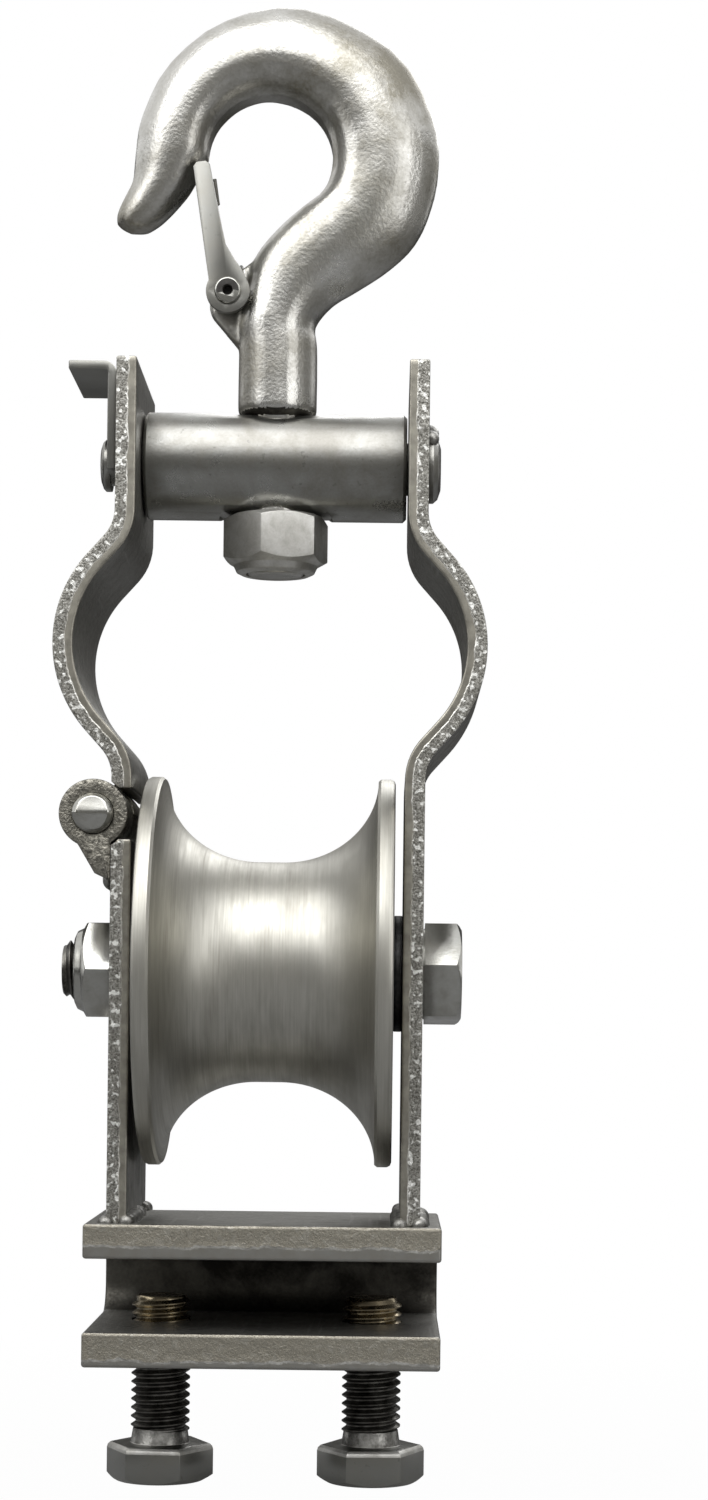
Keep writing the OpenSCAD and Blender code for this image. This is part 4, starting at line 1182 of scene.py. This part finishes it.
class PULLEY_OT_stage(bpy.types.Operator):
    """Set the floor, the lamps, the world and the camera"""
    bl_idname = "pulley.stage"
    bl_label = "Stage"

    # Lamps and the cards that the metal reflects: place, then power or grey, width and height.
    lamps = {
        "top": ((-0.12, -0.42, 0.6), 5.6, 1.1, 0.6),
        "front": ((-0.3, -0.8, 0.45), 2.7, 1.6, 0.42),
        "left": ((-0.6, -0.35, 0.15), 0.7, 0.35, 0.6),
        "right": ((0.55, -0.5, 0.1), 1.1, 0.35, 0.6),
        "back": ((0.25, 0.75, 0.45), 2.0, 0.7, 0.4),
    }
    cards = {
        "card_front": ((0.0, -1.1, -0.25), 0.44, 2.4, 1.8),
        "card_right": ((0.95, -0.3, -0.25), 0.42, 2.0, 1.5),
        "card_left": ((-0.95, -0.3, -0.35), 0.1, 2.0, 1.3),
        "card_back": ((0.0, 1.1, -0.25), 0.08, 2.4, 1.5),
    }

    def execute(self, context):
        self.view()
        self.world()
        self.floor(cad_bounds[0][2] - 12 * MM)
        target = Vector((0, 0, -130 * MM))
        for name, (place, power, width, height) in self.lamps.items():
            lamp = bpy.data.lights.new(name, "AREA")
            lamp.shape = "RECTANGLE"
            lamp.size, lamp.size_y = width, height
            lamp.energy = power
            new_object(name, lamp).matrix_world = aimed(Vector(place), target)
        for name, (place, grey, width, height) in self.cards.items():
            card = sheet_object(name, width, height, (grey, grey * 0.97, grey * 0.9))
            card.matrix_world = aimed(Vector(place), target)
            card.visible_camera = False
            card.visible_shadow = False
        return {"FINISHED"}

    def view(self):
        """A level camera low in front, shifted up like the photograph's and slightly rolled."""
        place = Vector((24 * MM, -551 * MM, -186 * MM))
        seen_height = 305.2 * MM
        roll = math.radians(0.7)
        camera = bpy.data.cameras.new("camera")
        camera.sensor_fit = "VERTICAL"
        camera.clip_start = 0.01
        camera.angle = 2 * math.atan(seen_height / 2 / -place.y)
        camera.shift_x = -0.0227
        camera.shift_y = 0.177
        holder = new_object("camera", camera)
        level = aimed(place, place + Vector((0, 1, 0)))
        holder.matrix_world = level @ Matrix.Rotation(roll, 4, "Z")
        bpy.context.scene.camera = holder

    def world(self):
        """A soft studio around the object, white to the camera."""
        world = bpy.data.worlds.new("studio")
        bpy.context.scene.world = world
        world.use_nodes = True
        nodes = Nodes(world.node_tree)
        nodes.tree.nodes.clear()
        soft = nodes.add("ShaderNodeBackground", Color=(0.9, 0.92, 0.95), Strength=0.5)
        white = nodes.add("ShaderNodeBackground", Color=(1, 1, 1), Strength=1.0)
        path = nodes.add("ShaderNodeLightPath").outputs
        seen = nodes.math("MAXIMUM", path["Is Camera Ray"], path["Is Glossy Ray"])
        seen = nodes.math("MAXIMUM", seen, path["Is Transmission Ray"])
        nodes.mix_shaders(seen, soft, white, nodes.add("ShaderNodeOutputWorld").inputs[0])

    def floor(self, height):
        """A plain pale floor that keeps the object's shadow and fades to white around it."""
        floor = sheet_object("floor", 12.0, 12.0, (0.25, 0.25, 0.25))
        floor.data.transform(Matrix.Translation((0, 0, height)))
        nodes = Nodes(floor.data.materials[0].node_tree)
        bright = nodes.add("ShaderNodeEmission", Color=(1, 1, 1), Strength=1.0)
        path = nodes.add("ShaderNodeLightPath").outputs
        away = nodes.tree.nodes.new("ShaderNodeVectorMath")
        away.operation = "LENGTH"
        nodes.feed(away.inputs[0], nodes.add("ShaderNodeTexCoord").outputs["Object"])
        whiter = nodes.remap(away.outputs["Value"], 0.12, 0.45, 0.96, 1.0)
        share = nodes.times(path["Is Camera Ray"], whiter)
        nodes.mix_shaders(share, nodes.tree.nodes["Principled BSDF"], bright,
                          nodes.tree.nodes["Material Output"].inputs[0])


class PULLEY_PT_panel(bpy.types.Panel):
    """Lists the pulley's pieces, sizes and colours"""
    bl_label = "Cable pulley"
    bl_idname = "PULLEY_PT_panel"
    bl_space_type = "VIEW_3D"
    bl_region_type = "UI"
    bl_category = "Pulley"

    def draw(self, context):
        layout = self.layout
        for operator in OPERATORS:
            layout.operator(operator.bl_idname)
        for group in (context.scene.pulley_sizes, context.scene.pulley_colours):
            box = layout.box()
            for name in group.bl_rna.properties.keys():
                if name not in ("rna_type", "name"):
                    box.prop(group, name)


OPERATORS = (PULLEY_OT_stage, PULLEY_OT_hook, PULLEY_OT_latch, PULLEY_OT_cross_bar, PULLEY_OT_straps,
             PULLEY_OT_hinge, PULLEY_OT_clamp, PULLEY_OT_welds, PULLEY_OT_fasteners, PULLEY_OT_wheel,
             PULLEY_OT_bearings)
CLASSES = (PulleySizes, PulleyColours) + OPERATORS + (PULLEY_PT_panel,)


def register():
    for cls in CLASSES:
        bpy.utils.register_class(cls)
    bpy.types.Scene.pulley_sizes = bpy.props.PointerProperty(type=PulleySizes)
    bpy.types.Scene.pulley_colours = bpy.props.PointerProperty(type=PulleyColours)


def unregister():
    del bpy.types.Scene.pulley_colours
    del bpy.types.Scene.pulley_sizes
    for cls in reversed(CLASSES):
        bpy.utils.unregister_class(cls)


def main():
    register()
    noise.seed_set(1)  # without a seed the vector noise differs from run to run
    bpy.context.scene.view_settings.view_transform = "Standard"
    bpy.ops.pulley.stage()
    bpy.ops.pulley.hook()
    bpy.ops.pulley.latch()
    bpy.ops.pulley.cross_bar()
    bpy.ops.pulley.straps()
    bpy.ops.pulley.hinge()
    bpy.ops.pulley.clamp()
    bpy.ops.pulley.welds()
    bpy.ops.pulley.fasteners()
    bpy.ops.pulley.wheel()
    bpy.ops.pulley.bearings()


if __name__ == "__main__":
    main()
